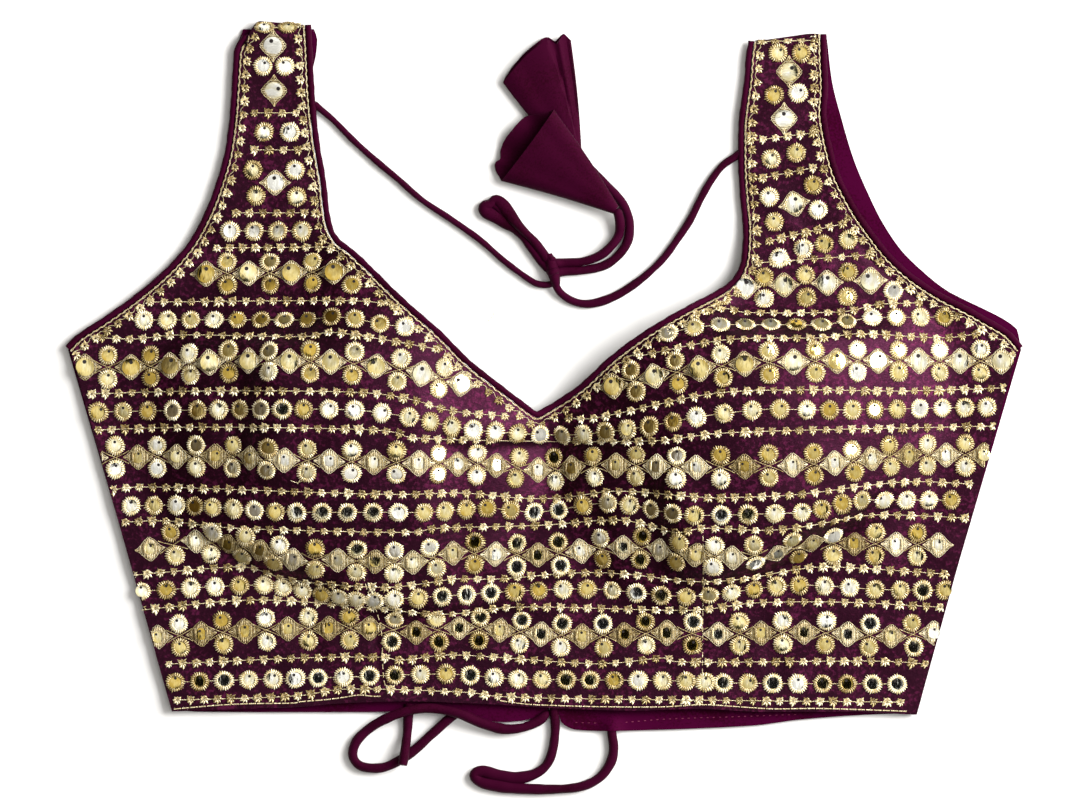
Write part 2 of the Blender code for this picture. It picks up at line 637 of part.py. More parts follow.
def tassel(spec, material):
    """Flattened cone of cloth: an outer and an inner wall that meet at the open mouth."""
    tip = np.array(spec["tip"])
    left = np.array(spec["corner_left"])
    right = np.array(spec["corner_right"])
    middle = 0.5 * (left + right)
    run = (middle - tip)
    length = float(np.linalg.norm(run))
    axis = run / length
    half = 0.5 * (right - left)
    half_width = float(np.linalg.norm(half))
    side = half / half_width
    up = np.cross(side, axis)
    up = up / np.linalg.norm(up)
    if up[2] < 0.0:
        up = -up

    def ring(share, inset):
        points = []
        wide = spec["tip_half"] + (half_width - spec["tip_half"]) * share - inset
        tall = spec["tip_half"] + (spec["mouth_half"] - spec["tip_half"]) * share - inset
        for k in range(TASSEL_SIDES):
            angle = 2.0 * math.pi * k / TASSEL_SIDES
            far = max(-math.sin(angle), 0.0) ** TASSEL_LIP_ROUNDING * spec["lip"] * share
            bow = TASSEL_BOW * math.sin(math.pi * share) * math.cos(angle) ** 2
            points.append(tuple(tip + axis * (length * share + far * share)
                                + side * math.cos(angle) * (wide - bow)
                                + up * math.sin(angle) * tall))
        return points

    outer = [ring(k / TASSEL_RINGS, 0.0) for k in range(TASSEL_RINGS + 1)]
    inner = [ring(k / TASSEL_RINGS, TASSEL_WALL) for k in range(1, TASSEL_RINGS + 1)]
    rings = outer + inner[::-1]
    points = [point for loop in rings for point in loop]
    faces = []
    for k in range(len(rings) - 1):
        for j in range(TASSEL_SIDES):
            a = k * TASSEL_SIDES + j
            b = k * TASSEL_SIDES + (j + 1) % TASSEL_SIDES
            faces.append((a, b, b + TASSEL_SIDES, a + TASSEL_SIDES))
    faces.append(tuple(range(TASSEL_SIDES))[::-1])
    last = (len(rings) - 1) * TASSEL_SIDES
    faces.append(tuple(last + j for j in range(TASSEL_SIDES)))
    return make_mesh(spec["name"], points, faces, material)


def knot(material):
    """Three tight turns of cord drawn into one firm body."""
    turn = math.radians(KNOT_TURN)
    points = []
    for row in range(1, KNOT_ROWS):
        share = row / KNOT_ROWS
        swell = math.sin(math.pi * share) ** KNOT_FULLNESS
        wrap = 1.0 - KNOT_WRAP_DEPTH * math.cos(2.0 * math.pi * KNOT_WRAPS * share)
        along = -0.5 * KNOT_SIZE[1] * math.cos(math.pi * share)
        for k in range(KNOT_SIDES):
            angle = 2.0 * math.pi * k / KNOT_SIDES
            x = 0.5 * KNOT_SIZE[0] * swell * wrap * math.cos(angle)
            z = 0.5 * KNOT_SIZE[2] * swell * math.sin(angle)
            points.append((x * math.cos(turn) - along * math.sin(turn) + KNOT_CENTRE[0],
                           x * math.sin(turn) + along * math.cos(turn) + KNOT_CENTRE[1],
                           z + KNOT_CENTRE[2]))
    faces = []
    for row in range(KNOT_ROWS - 2):
        for k in range(KNOT_SIDES):
            a = row * KNOT_SIDES + k
            b = row * KNOT_SIDES + (k + 1) % KNOT_SIDES
            faces.append((a, a + KNOT_SIDES, b + KNOT_SIDES, b))
    faces.append(tuple(range(KNOT_SIDES)))
    last = (KNOT_ROWS - 2) * KNOT_SIDES
    faces.append(tuple(last + k for k in range(KNOT_SIDES))[::-1])
    return make_mesh("neck_knot", points, faces, material)


def face_outward():
    """Turn every mesh's faces to the outside."""
    for thing in bpy.context.scene.objects:
        if thing.type != "MESH":
            continue
        mesh = thing.data
        volume = 0.0
        for polygon in mesh.polygons:
            corners = [np.array(mesh.vertices[v].co) for v in polygon.vertices]
            for k in range(1, len(corners) - 1):
                volume += float(np.dot(corners[0], np.cross(corners[k], corners[k + 1])))
        if volume < 0.0:
            mesh.flip_normals()


def build():
    clear_scene()
    front_cloth = make_material("mirrorwork_satin", WINE_FRONT, 0.45)
    plain_cloth = make_material("plain_wine_satin", WINE, 0.5)
    cord_cloth = make_material("cord_satin", WINE, 0.55)
    front_panel(front_cloth)
    bindings(plain_cloth)
    back_panel("back_left", BACK_HEM_LEFT, BACK_NECK_LEFT, BACK_ARMHOLE_LEFT, True, plain_cloth)
    back_panel("back_right", BACK_HEM_RIGHT, BACK_NECK_RIGHT, BACK_ARMHOLE_RIGHT, False,
               plain_cloth)
    cord("neck_cord_left", CORD_LEFT, NECK_CORD, cord_cloth)
    cord("neck_cord_right", CORD_RIGHT, NECK_CORD, cord_cloth)
    cord("bow_loop", BOW_LOOP, BOW_CORD, cord_cloth)
    cord("tail_outer", TAIL_OUTER, BOW_CORD, cord_cloth, rise=((-1, 2.7),))
    cord("tail_inner", TAIL_INNER, BOW_CORD, cord_cloth, rise=((-2, 4.6), (-1, 6.4)))
    knot(cord_cloth)
    for spec in TASSELS:
        tassel(spec, cord_cloth)
    cord("hem_loop", HEM_LOOP, HEM_CORD, cord_cloth)
    cord("hem_loop_end", HEM_LOOP_END, HEM_CORD, cord_cloth)
    cord("hem_free_end", HEM_FREE_END, HEM_CORD, cord_cloth)
    cord("hem_tie", HEM_TIE, HEM_CORD, cord_cloth)
    face_outward()


build()
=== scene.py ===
"""Choli blouse laid out flat: satin worked all over with foil mirrors and gold thread.

Lengths in the tables are in millimetres: across to the wearer's left, up to the shoulders.
Left and right in names are as seen from above, so the wearer's are the other way round.
"""
import math

import bpy
import numpy as np
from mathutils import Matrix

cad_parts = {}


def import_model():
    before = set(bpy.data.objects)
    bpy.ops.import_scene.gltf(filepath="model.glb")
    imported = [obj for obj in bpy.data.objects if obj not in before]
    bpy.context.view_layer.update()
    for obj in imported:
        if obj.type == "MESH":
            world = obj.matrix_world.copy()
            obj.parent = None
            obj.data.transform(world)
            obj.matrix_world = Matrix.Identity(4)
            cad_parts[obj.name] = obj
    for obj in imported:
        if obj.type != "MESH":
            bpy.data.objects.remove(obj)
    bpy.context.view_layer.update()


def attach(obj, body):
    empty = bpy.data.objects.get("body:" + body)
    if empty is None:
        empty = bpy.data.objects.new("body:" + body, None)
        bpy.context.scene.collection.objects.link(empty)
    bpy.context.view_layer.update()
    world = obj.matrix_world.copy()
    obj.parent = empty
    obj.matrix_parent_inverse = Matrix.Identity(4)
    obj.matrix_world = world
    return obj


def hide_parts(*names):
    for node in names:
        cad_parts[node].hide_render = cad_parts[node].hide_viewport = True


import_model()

MM = 0.001
MIDDLE = (0.15, -0.94)


def world(points):
    """Table points to metres in the frame."""
    points = np.asarray(points, float).reshape(-1, 3)
    return (points - np.array([MIDDLE[0], MIDDLE[1], 0.0])) * MM


def clear_selection():
    """Leave edit mode and deselect everything."""
    if bpy.context.object and bpy.context.object.mode != "OBJECT":
        bpy.ops.object.mode_set(mode="OBJECT")
    bpy.ops.object.select_all(action="DESELECT")


def select_only(piece):
    """Select one piece alone and make it active."""
    clear_selection()
    piece.select_set(True)
    bpy.context.view_layer.objects.active = piece


clear_selection()


# ------------------------------------------------------------------ camera
CAMERA_POINT = (-2.88, -12.0)
CAMERA_DISTANCE = 12.0
FRAME_WIDTH = 0.5165
SENSOR = 36.0


def add_camera():
    """Straight down from high up, as a garment on a table is seen."""
    place = world((CAMERA_POINT[0], CAMERA_POINT[1], 0.0))[0]
    bpy.ops.object.camera_add(location=(place[0], place[1], CAMERA_DISTANCE), rotation=(0.0, 0.0, 0.0))
    camera = bpy.context.object
    camera.name = "camera"
    camera.data.sensor_width = SENSOR
    camera.data.lens = SENSOR * CAMERA_DISTANCE / FRAME_WIDTH
    camera.data.clip_end = 50.0
    bpy.context.scene.camera = camera


add_camera()


# ------------------------------------------------------------------ cloth form
# Thickness of the solids' cloth, and of the cloth as drawn inside it
FRONT_WALL, BACK_WALL = 2.0, 1.2
FRONT_SHELL, BACK_SHELL = 1.5, 1.0
SEAM_GAP = 0.3
BINDING_WIDTH = 3.0
BINDING_HEIGHT = 2.4
FRONT_REST = BACK_WALL + SEAM_GAP + 0.5 * FRONT_WALL
V_POINT = (-3.4, -20.9)
STRAP_TOP_LEFT = 168.0
STRAP_TOP_RIGHT = 162.3

# Outer edge of each armhole binding: (up, across)
ARMHOLE_LEFT = [
    (13.9, -229.7), (19.2, -224.5), (26.4, -213.5), (36.0, -199.7), (45.6, -187.7),
    (55.2, -177.6), (64.8, -169.9), (74.4, -164.6), (84.0, -160.3), (93.6, -157.0),
    (108.0, -153.1), (127.2, -150.7), (141.6, -149.8), (156.0, -148.8), (162.7, -147.4),
    (168.0, -144.8),
]
ARMHOLE_RIGHT = [
    (13.9, 229.9), (21.5, 223.0), (26.5, 214.5), (32.5, 204.0), (39.4, 190.5),
    (48.0, 177.5), (58.0, 166.6), (68.6, 158.2), (78.2, 151.4), (88.8, 145.6),
    (97.4, 141.6), (107.0, 138.9), (116.6, 136.8), (126.0, 135.6), (138.0, 136.4),
    (151.2, 135.8), (162.3, 135.6),
]

# Outer edge of the neck binding: (up, across)
NECK_LEFT = [
    (-17.4, -3.8), (-12.0, -11.0), (-2.4, -23.5), (7.2, -35.5), (21.6, -49.9),
    (31.2, -61.0), (40.8, -71.5), (50.4, -81.1), (60.0, -91.2), (67.0, -99.8),
    (76.8, -102.7), (93.6, -104.6), (110.4, -107.5), (127.2, -109.4), (141.6, -110.4),
    (156.0, -111.0), (168.0, -111.8),
]
NECK_RIGHT = [
    (-17.4, -3.0), (-12.0, 6.2), (-4.3, 17.3), (2.4, 24.5), (7.2, 29.5),
    (16.8, 41.8), (26.4, 56.6), (36.0, 74.0), (42.4, 86.0), (49.0, 92.4),
    (57.0, 94.8), (69.6, 95.4), (84.0, 94.1), (103.2, 93.1), (117.6, 93.1),
    (132.0, 94.6), (141.6, 96.0), (156.0, 97.0), (162.3, 98.0),
]
HEM_CORNER_LEFT = (-178.6, -161.4)
HEM_CORNER_RIGHT = (178.4, -163.0)

# Lower edges: (across, up)
FRONT_HEM = [
    (-178.6, -161.4), (-150.0, -160.4), (-117.0, -159.2), (-98.0, -157.6), (-69.0, -156.6),
    (-21.0, -158.2), (8.0, -160.0), (41.0, -161.0), (75.0, -160.2), (104.0, -161.6),
    (147.0, -161.6), (178.4, -163.0),
]
BACK_HEM_LEFT = [
    (-178.0, -160.4), (-166.0, -161.6), (-132.0, -161.8), (-98.0, -161.8), (-86.0, -161.8),
    (-76.0, -161.6), (-60.0, -161.2), (-45.0, -162.0), (-31.0, -165.0), (-20.0, -166.6),
    (-11.0, -166.0), (-4.0, -164.4), (1.0, -162.6), (2.6, -158.4),
]
BACK_HEM_RIGHT = [
    (6.4, -158.5), (7.4, -164.6), (8.8, -167.2), (11.5, -169.0), (15.4, -170.3),
    (29.3, -170.9), (51.0, -170.4), (75.0, -169.6), (101.0, -168.2), (123.0, -165.4),
    (152.0, -163.2), (178.0, -162.2),
]
BACK_LEVEL = -100.0

# Inner edges of the backs, under the front: (up, across)
BACK_NECK_LEFT = [
    (-100.0, 1.8), (-56.0, -1.2), (-50.0, -8.0), (-44.0, -25.0), (-36.0, -42.0),
    (-24.0, -58.0), (-8.0, -74.0), (15.0, -90.0), (45.0, -102.0), (80.0, -107.5),
    (120.0, -112.0), (141.0, -112.0), (154.0, -109.4), (161.0, -108.8), (166.0, -110.4),
]
BACK_NECK_RIGHT = [
    (-100.0, 6.6), (-56.0, 8.8), (-50.0, 15.0), (-42.0, 33.0), (-28.0, 52.0),
    (-4.0, 71.0), (28.0, 89.0), (60.0, 98.0), (100.0, 98.5), (150.0, 101.0),
    (161.0, 102.5),
]
BACK_ARMHOLE_LEFT = [
    (12.0, -228.4), (19.2, -223.0), (26.4, -211.5), (36.0, -198.0), (45.6, -186.2),
    (55.2, -176.2), (64.8, -168.6), (84.0, -159.0), (108.0, -152.0), (141.6, -148.8),
    (156.0, -147.8), (166.0, -144.4),
]
BACK_ARMHOLE_RIGHT = [
    (12.0, 229.0), (21.6, 227.2), (26.4, 221.3), (31.2, 212.2), (36.0, 202.1),
    (40.8, 193.0), (50.4, 181.0), (60.0, 171.4), (74.4, 161.8), (84.0, 157.0),
    (103.2, 148.8), (122.4, 143.0), (141.6, 138.2), (161.0, 135.9),
]

# Padded cups
CUPS = [
    dict(across=-90.0, up=-14.0, outward=108.0, inward=98.0, above=96.0, below=122.0,
         height=27.0),
    dict(across=94.0, up=-14.0, outward=108.0, inward=98.0, above=96.0, below=122.0,
         height=28.0),
]
# Above 1, so that a cup runs out flat at its rim
CUP_ROUNDNESS = 1.35

# Creases under and over the bust: (across, up, softness, share of the height kept past it)
UNDERBUST = [
    (-230.0, -66.0, 14.0, 0.60), (-206.0, -70.0, 10.0, 0.50), (-167.0, -74.0, 8.0, 0.30),
    (-141.0, -86.0, 8.0, 0.22), (-107.0, -101.0, 8.0, 0.20), (-86.0, -109.0, 9.0, 0.25),
    (-40.0, -114.0, 18.0, 0.50), (0.0, -112.0, 20.0, 0.60), (45.0, -106.0, 17.0, 0.50),
    (82.0, -100.0, 9.0, 0.25), (104.0, -91.0, 8.0, 0.20), (123.0, -81.0, 8.0, 0.22),
    (147.0, -69.0, 9.0, 0.30), (167.0, -60.0, 10.0, 0.40), (200.0, -54.0, 14.0, 0.55),
    (230.0, -50.0, 16.0, 0.60),
]
OVERBUST = [
    (-230.0, 20.0, 10.0, 0.60), (-182.0, 20.0, 8.0, 0.50), (-150.0, 20.0, 7.0, 0.45),
    (-117.0, 20.0, 8.0, 0.50), (-96.0, 24.0, 14.0, 0.85), (-60.0, 30.0, 18.0, 0.95),
    (0.0, 30.0, 18.0, 1.00), (50.0, 28.0, 16.0, 0.95), (80.0, 26.0, 11.0, 0.55),
    (100.0, 24.0, 9.0, 0.32), (150.0, 25.0, 9.0, 0.32), (172.0, 27.0, 10.0, 0.45),
    (230.0, 24.0, 12.0, 0.60),
]
# The height fades in from the side seams, over a stretch that starts just outside them
SIDE_START, SIDE_FALL = -4.0, 46.0
# The hem's turning lifts the lowest rows
HEM_LIFT, HEM_LIFT_ROWS, HEM_LIFT_SIDE = 1.2, (138.0, 160.0), 30.0
# How softly the front comes down to the level at which it rests
REST_SOFTNESS = 0.7
# Slow waves over the whole front: their height and their lengths
UNEVEN = 0.5
UNEVEN_WAVES = (31.0, 47.0, 23.0, 61.0)

# Folds, a row each: ends, half width, step across it (left side high), ridge
FOLDS = [
    dict(ends=(-157.9, 61.4, -100.3, 61.4), width=5.5, step=1.5, ridge=0.0),
    dict(ends=(-47.5, -31.2, 70.1, -31.7), width=5.5, step=1.9, ridge=0.0),
    dict(ends=(-78.7, -113.8, -1.9, -112.8), width=5.0, step=1.6, ridge=0.0),
    dict(ends=(-136.0, 12.0, -141.0, -50.0), width=9.0, step=2.4, ridge=0.0),
    dict(ends=(53.0, -45.0, 63.0, -90.0), width=8.0, step=2.6, ridge=0.0),
    dict(ends=(-50.0, -80.0, -52.0, -5.0), width=10.0, step=1.5, ridge=0.0),
    dict(ends=(6.2, -24.0, 6.2, -62.0), width=6.0, step=0.0, ridge=-2.2),
    dict(ends=(155.5, 62.4, 197.3, 27.4), width=5.5, step=0.0, ridge=-2.6),
]
# A fold fades in from this many half widths before its end to as many past it
FOLD_FADE = 1.6

# Small creases laid over the big ones: darts, puckers and pulls
CREASES = [
    dict(ends=(-86.0, -70.0, -78.0, -152.0), width=1.5, step=0.0, ridge=-0.8),
    dict(ends=(76.0, -74.0, 76.0, -154.0), width=1.5, step=0.0, ridge=-0.8),
    dict(ends=(-21.0, -97.5, 8.0, -97.0), width=3.0, step=0.7, ridge=0.0),
    dict(ends=(51.0, -112.5, 74.0, -112.0), width=3.0, step=0.7, ridge=0.0),
    dict(ends=(-206.0, 2.0, -196.0, -46.0), width=5.0, step=0.6, ridge=-0.5),
    dict(ends=(-176.0, -66.0, -126.0, -92.0), width=4.0, step=0.0, ridge=0.9),
    dict(ends=(-160.0, -80.0, -118.0, -104.0), width=3.0, step=0.0, ridge=-0.7),
    dict(ends=(92.0, -84.0, 150.0, -62.0), width=4.0, step=0.0, ridge=0.9),
    dict(ends=(100.0, -98.0, 160.0, -72.0), width=3.5, step=0.0, ridge=-0.7),
    dict(ends=(-182.0, 18.0, -116.0, 19.5), width=3.2, step=0.8, ridge=-0.5),
    dict(ends=(92.0, 27.0, 166.0, 26.0), width=3.5, step=0.6, ridge=-0.4),
    dict(ends=(-120.0, 92.0, -132.0, 68.0), width=4.0, step=0.0, ridge=0.6),
    dict(ends=(112.0, 78.0, 138.0, 52.0), width=4.0, step=0.0, ridge=0.7),
    dict(ends=(-34.0, -66.0, -30.0, -104.0), width=5.0, step=0.5, ridge=0.0),
    dict(ends=(28.0, -60.0, 34.0, -100.0), width=5.0, step=0.6, ridge=0.0),
    dict(ends=(150.0, -118.0, 176.0, -132.0), width=5.0, step=0.0, ridge=0.5),
    dict(ends=(-170.0, -118.0, -146.0, -134.0), width=5.0, step=0.0, ridge=0.5),
    dict(ends=(-112.0, -118.0, -98.0, -150.0), width=4.5, step=0.4, ridge=0.0),
    dict(ends=(108.0, -112.0, 118.0, -150.0), width=4.5, step=0.4, ridge=0.0),
    dict(ends=(157.0, 57.0, 196.0, 26.0), width=4.0, step=0.0, ridge=-1.3),
    dict(ends=(-22.0, -33.0, 30.0, -33.5), width=3.0, step=0.0, ridge=-1.0),
]
# Pucker between close stitches: its height and its waves' lengths
PUCKER = 0.16
PUCKER_WAVES = (5.1, 7.3, 11.0, 3.7)


def ease(low, high, value):
    """0 before low, 1 after high, and smooth between; high may be the lesser."""
    share = np.clip((value - low) / (high - low), 0.0, 1.0)
    return share * share * (3.0 - 2.0 * share)


def read_curve(rows, column, at):
    """Values of a table's column on a curve through its rows."""
    keys = np.array([row[0] for row in rows], float)
    values = np.array([row[column] for row in rows], float)
    steps = np.diff(values) / np.diff(keys)
    slopes = np.concatenate([steps[:1], np.zeros(len(keys) - 2), steps[-1:]])
    same = steps[:-1] * steps[1:] > 0.0
    total = np.where(same, steps[:-1] + steps[1:], 1.0)
    slopes[1:-1] = np.where(same, 2.0 * steps[:-1] * steps[1:] / total, 0.0)
    at = np.clip(np.asarray(at, float), keys[0], keys[-1])
    k = np.clip(np.searchsorted(keys, at, side="right") - 1, 0, len(keys) - 2)
    span = keys[k + 1] - keys[k]
    t = (at - keys[k]) / span
    start = (1.0 + 2.0 * t) * (1.0 - t) ** 2 * values[k]
    end = t * t * (3.0 - 2.0 * t) * values[k + 1]
    lead = t * (1.0 - t) ** 2 * span * slopes[k]
    trail = t * t * (t - 1.0) * span * slopes[k + 1]
    return start + end + lead + trail


def move_sideways(points, distance):
    """Polyline moved to its left by a distance, with mitred corners."""
    points = np.asarray(points, float)
    runs = np.diff(points, axis=0)
    runs = runs / np.linalg.norm(runs, axis=1)[:, None]
    first = np.vstack([runs[:1], runs])
    second = np.vstack([runs, runs[-1:]])
    normal = np.stack([-(first[:, 1] + second[:, 1]), first[:, 0] + second[:, 0]], axis=1)
    normal = normal / np.linalg.norm(normal, axis=1)[:, None]
    spread = np.maximum(normal[:, 0] * -first[:, 1] + normal[:, 1] * first[:, 0], 0.5)
    return points + normal * (np.asarray(distance) / spread)[:, None]


# Points of an edge lie closer together near its start, where it turns most
EDGE_STEPS, EDGE_CROWDING = 48, 1.25


def edge_line(table, top, inward):
    """Edge of the front inside its binding, from the table's start."""
    start = table[0][0]
    levels = start + (top - start) * (np.arange(EDGE_STEPS + 1) / EDGE_STEPS) ** EDGE_CROWDING
    outline = np.stack([read_curve(table, 1, levels), levels], axis=1)
    return move_sideways(outline, inward)


INSET = BINDING_WIDTH + SEAM_GAP
EDGE_ARM_LEFT = edge_line(ARMHOLE_LEFT, STRAP_TOP_LEFT, -INSET)
EDGE_ARM_RIGHT = edge_line(ARMHOLE_RIGHT, STRAP_TOP_RIGHT, INSET)
EDGE_NECK_LEFT = edge_line(NECK_LEFT, STRAP_TOP_LEFT, INSET)
EDGE_NECK_RIGHT = edge_line(NECK_RIGHT, STRAP_TOP_RIGHT, -INSET)
UNDERARM_LEFT = tuple(EDGE_ARM_LEFT[0])
UNDERARM_RIGHT = tuple(EDGE_ARM_RIGHT[0])


def side_edge(level, left):
    """Across position of the side seam or armhole edge at each level."""
    corner = UNDERARM_LEFT if left else UNDERARM_RIGHT
    low = HEM_CORNER_LEFT if left else HEM_CORNER_RIGHT
    edge = EDGE_ARM_LEFT if left else EDGE_ARM_RIGHT
    seam = low[0] + (corner[0] - low[0]) * (level - low[1]) / (corner[1] - low[1])
    return np.where(level <= corner[1], seam, np.interp(level, edge[:, 1], edge[:, 0]))


def neck_edge(level, left):
    """Across position of the neck's edge at each level, from the V up."""
    edge = EDGE_NECK_LEFT if left else EDGE_NECK_RIGHT
    edge = np.vstack([[V_POINT], edge[edge[:, 1] > V_POINT[1] + 0.5]])
    return np.where(level <= V_POINT[1], V_POINT[0], np.interp(level, edge[:, 1], edge[:, 0]))


def fold_lift(x, y, fold):
    """Height that one fold adds: a step across it, a ridge along it, or both."""
    ax, ay, bx, by = fold["ends"]
    length = math.hypot(bx - ax, by - ay)
    ux, uy = (bx - ax) / length, (by - ay) / length
    along = (x - ax) * ux + (y - ay) * uy
    across = ((y - ay) * ux - (x - ax) * uy) / fold["width"]
    reach = FOLD_FADE * fold["width"]
    fade = ease(-reach, reach, along) * ease(-reach, reach, length - along)
    step = fold["step"] * across * np.exp(0.5 * (1.0 - across * across))
    return fade * (step + fold["ridge"] * np.exp(-across * across))


def front_height(x, y):
    """Height of the middle of the front's wall above the surface."""
    x, y = np.asarray(x, float), np.asarray(y, float)
    lift = np.zeros(np.broadcast(x, y).shape)
    for cup in CUPS:
        outward = (x - cup["across"]) * cup["across"] > 0.0
        reach_x = np.where(outward, cup["outward"], cup["inward"])
        reach_y = np.where(y > cup["up"], cup["above"], cup["below"])
        spread = ((x - cup["across"]) / reach_x) ** 2 + ((y - cup["up"]) / reach_y) ** 2
        lift += cup["height"] * np.clip(1.0 - spread, 0.0, 1.0) ** CUP_ROUNDNESS
    under = [read_curve(UNDERBUST, column, x) for column in (1, 2, 3)]
    over = [read_curve(OVERBUST, column, x) for column in (1, 2, 3)]
    lift *= 1.0 - (1.0 - under[2]) * ease(-under[1], under[1], under[0] - y)
    lift *= 1.0 - (1.0 - over[2]) * ease(-over[1], over[1], y - over[0])
    lift += sum(fold_lift(x, y, fold) for fold in FOLDS)
    first, second, third, fourth = UNEVEN_WAVES
    lift += UNEVEN * (1.0 + np.sin(x / first + y / second) * np.sin(y / third - x / fourth))
    level = np.clip(y, HEM_CORNER_LEFT[1], UNDERARM_LEFT[1])
    inside = np.minimum(x - side_edge(level, True), side_edge(level, False) - x)
    lift *= ease(SIDE_START, SIDE_FALL, inside)
    lift += HEM_LIFT * ease(*HEM_LIFT_ROWS, -y) * ease(0.0, HEM_LIFT_SIDE, inside)
    return FRONT_REST + 0.5 * (lift + np.hypot(lift, REST_SOFTNESS))


def worked_height(x, y):
    """The same surface with its small creases, and the pucker that close stitching gives."""
    lift = sum(fold_lift(x, y, crease) for crease in CREASES)
    first, second, third, fourth = PUCKER_WAVES
    lift = lift + PUCKER * np.sin(x / first + 1.7 * np.sin(y / second))
    lift = lift + PUCKER * np.sin(y / fourth + 1.3 * np.sin(x / third))
    return np.maximum(front_height(x, y) + lift, FRONT_REST)


def cloth_normal(x, y, reach=0.8):
    """Direction that the worked cloth faces, from its slopes over a reach to each side."""
    slope_x = (worked_height(x + reach, y) - worked_height(x - reach, y)) / (2.0 * reach)
    slope_y = (worked_height(x, y + reach) - worked_height(x, y - reach)) / (2.0 * reach)
    normal = np.stack([-slope_x, -slope_y, np.ones_like(slope_x)], axis=-1)
    return normal / np.linalg.norm(normal, axis=-1, keepdims=True)


def on_cloth(x, y, above=0.0):
    """Points of the front's upper face, raised along its normal."""
    x, y = np.asarray(x, float), np.asarray(y, float)
    base = np.stack([x, y, worked_height(x, y)], axis=-1)
    return base + cloth_normal(x, y) * (0.5 * FRONT_WALL + above)


def seat(x, y):
    """Plan points whose raised face lies over the ones given."""
    lean = cloth_normal(x, y)
    return x - 0.5 * FRONT_WALL * lean[..., 0], y - 0.5 * FRONT_WALL * lean[..., 1]


# ------------------------------------------------------------------ materials
def colour(code):
    """sRGB hex to linear colour."""
    parts = [int(code[k:k + 2], 16) / 255.0 for k in (1, 3, 5)]
    return tuple(p / 12.92 if p <= 0.04045 else ((p + 0.055) / 1.055) ** 2.4 for p in parts) + (1.0,)


def new_material(name):
    """New material with nodes, and its shader."""
    material = bpy.data.materials.new(name)
    material.use_nodes = True
    nodes = material.node_tree.nodes
    return material, nodes["Principled BSDF"]


def add_node(material, kind, settings=(), links=()):
    """One node: its settings by attribute or input, and links as (input, node, output)."""
    node = material.node_tree.nodes.new(kind)
    for key, value in dict(settings).items():
        if isinstance(key, str) and hasattr(node, key):
            setattr(node, key, value)
        else:
            node.inputs[key].default_value = value
    for socket, source, output in links:
        material.node_tree.links.new(source.outputs[output], node.inputs[socket])
    return node


def connect(material, source, output, target, socket):
    """Link one node's output to another's input."""
    material.node_tree.links.new(source.outputs[output], target.inputs[socket])


def ramp(material, source, output, stops):
    """Colour ramp from (position, hex colour) stops."""
    node = add_node(material, "ShaderNodeValToRGB", links=[("Fac", source, output)])
    elements = node.color_ramp.elements
    while len(elements) < len(stops):
        elements.new(0.5)
    for element, (position, code) in zip(elements, stops):
        element.position = position
        element.color = colour(code)
    return node


def worked_satin():
    """Art silk satin: near black where it turns away, violet where its floats face the light."""
    material, shader = new_material("art_silk_satin")
    place = add_node(material, "ShaderNodeTexCoord")
    # Floats 0.4 mm wide, drawn long across the blouse so that they show
    stretch = add_node(material, "ShaderNodeMapping", {"Scale": (700.0, 2600.0, 1000.0)},
                       [("Vector", place, "Object")])
    weave = add_node(material, "ShaderNodeTexNoise", {"Scale": 1.0, "Detail": 2.0, "Roughness": 0.6},
                     [("Vector", stretch, "Vector")])
    # Crushed patches: 2 mm flecks over faint 15 mm clouds; the dark maroon is the cloth's own colour, the
    # violet of the lighter flecks is painted sheen
    fleck = add_node(material, "ShaderNodeTexNoise", {"Scale": 520.0, "Detail": 3.0, "Roughness": 0.7},
                     [("Vector", place, "Object")])
    cloud = add_node(material, "ShaderNodeTexNoise", {"Scale": 65.0, "Detail": 3.0, "Roughness": 0.6},
                     [("Vector", place, "Object")])
    mixed = add_node(material, "ShaderNodeMath", {"operation": "MULTIPLY_ADD", 1: 0.5},
                     [(0, cloud, "Fac"), (2, fleck, "Fac")])
    tint = ramp(material, mixed, "Value", [(0.60, "#0C0103"), (0.78, "#160308"), (0.94, "#46122E")])
    connect(material, tint, "Color", shader, "Base Color")
    gloss = ramp(material, weave, "Fac", [(0.3, "#9A9A9A"), (0.7, "#CCCCCC")])
    connect(material, gloss, "Color", shader, "Roughness")
    raised = add_node(material, "ShaderNodeMath", {"operation": "MULTIPLY_ADD", 1: 0.6},
                      [(0, weave, "Fac"), (2, fleck, "Fac")])
    bump = add_node(material, "ShaderNodeBump", {"Strength": 0.4, "Distance": 0.0004},
                    [("Height", raised, "Value")])
    connect(material, bump, "Normal", shader, "Normal")
    shader.inputs["Metallic"].default_value = 0.25
    shader.inputs["Specular IOR Level"].default_value = 0.68
    shader.inputs["Specular Tint"].default_value = colour("#B85C92")
    return material


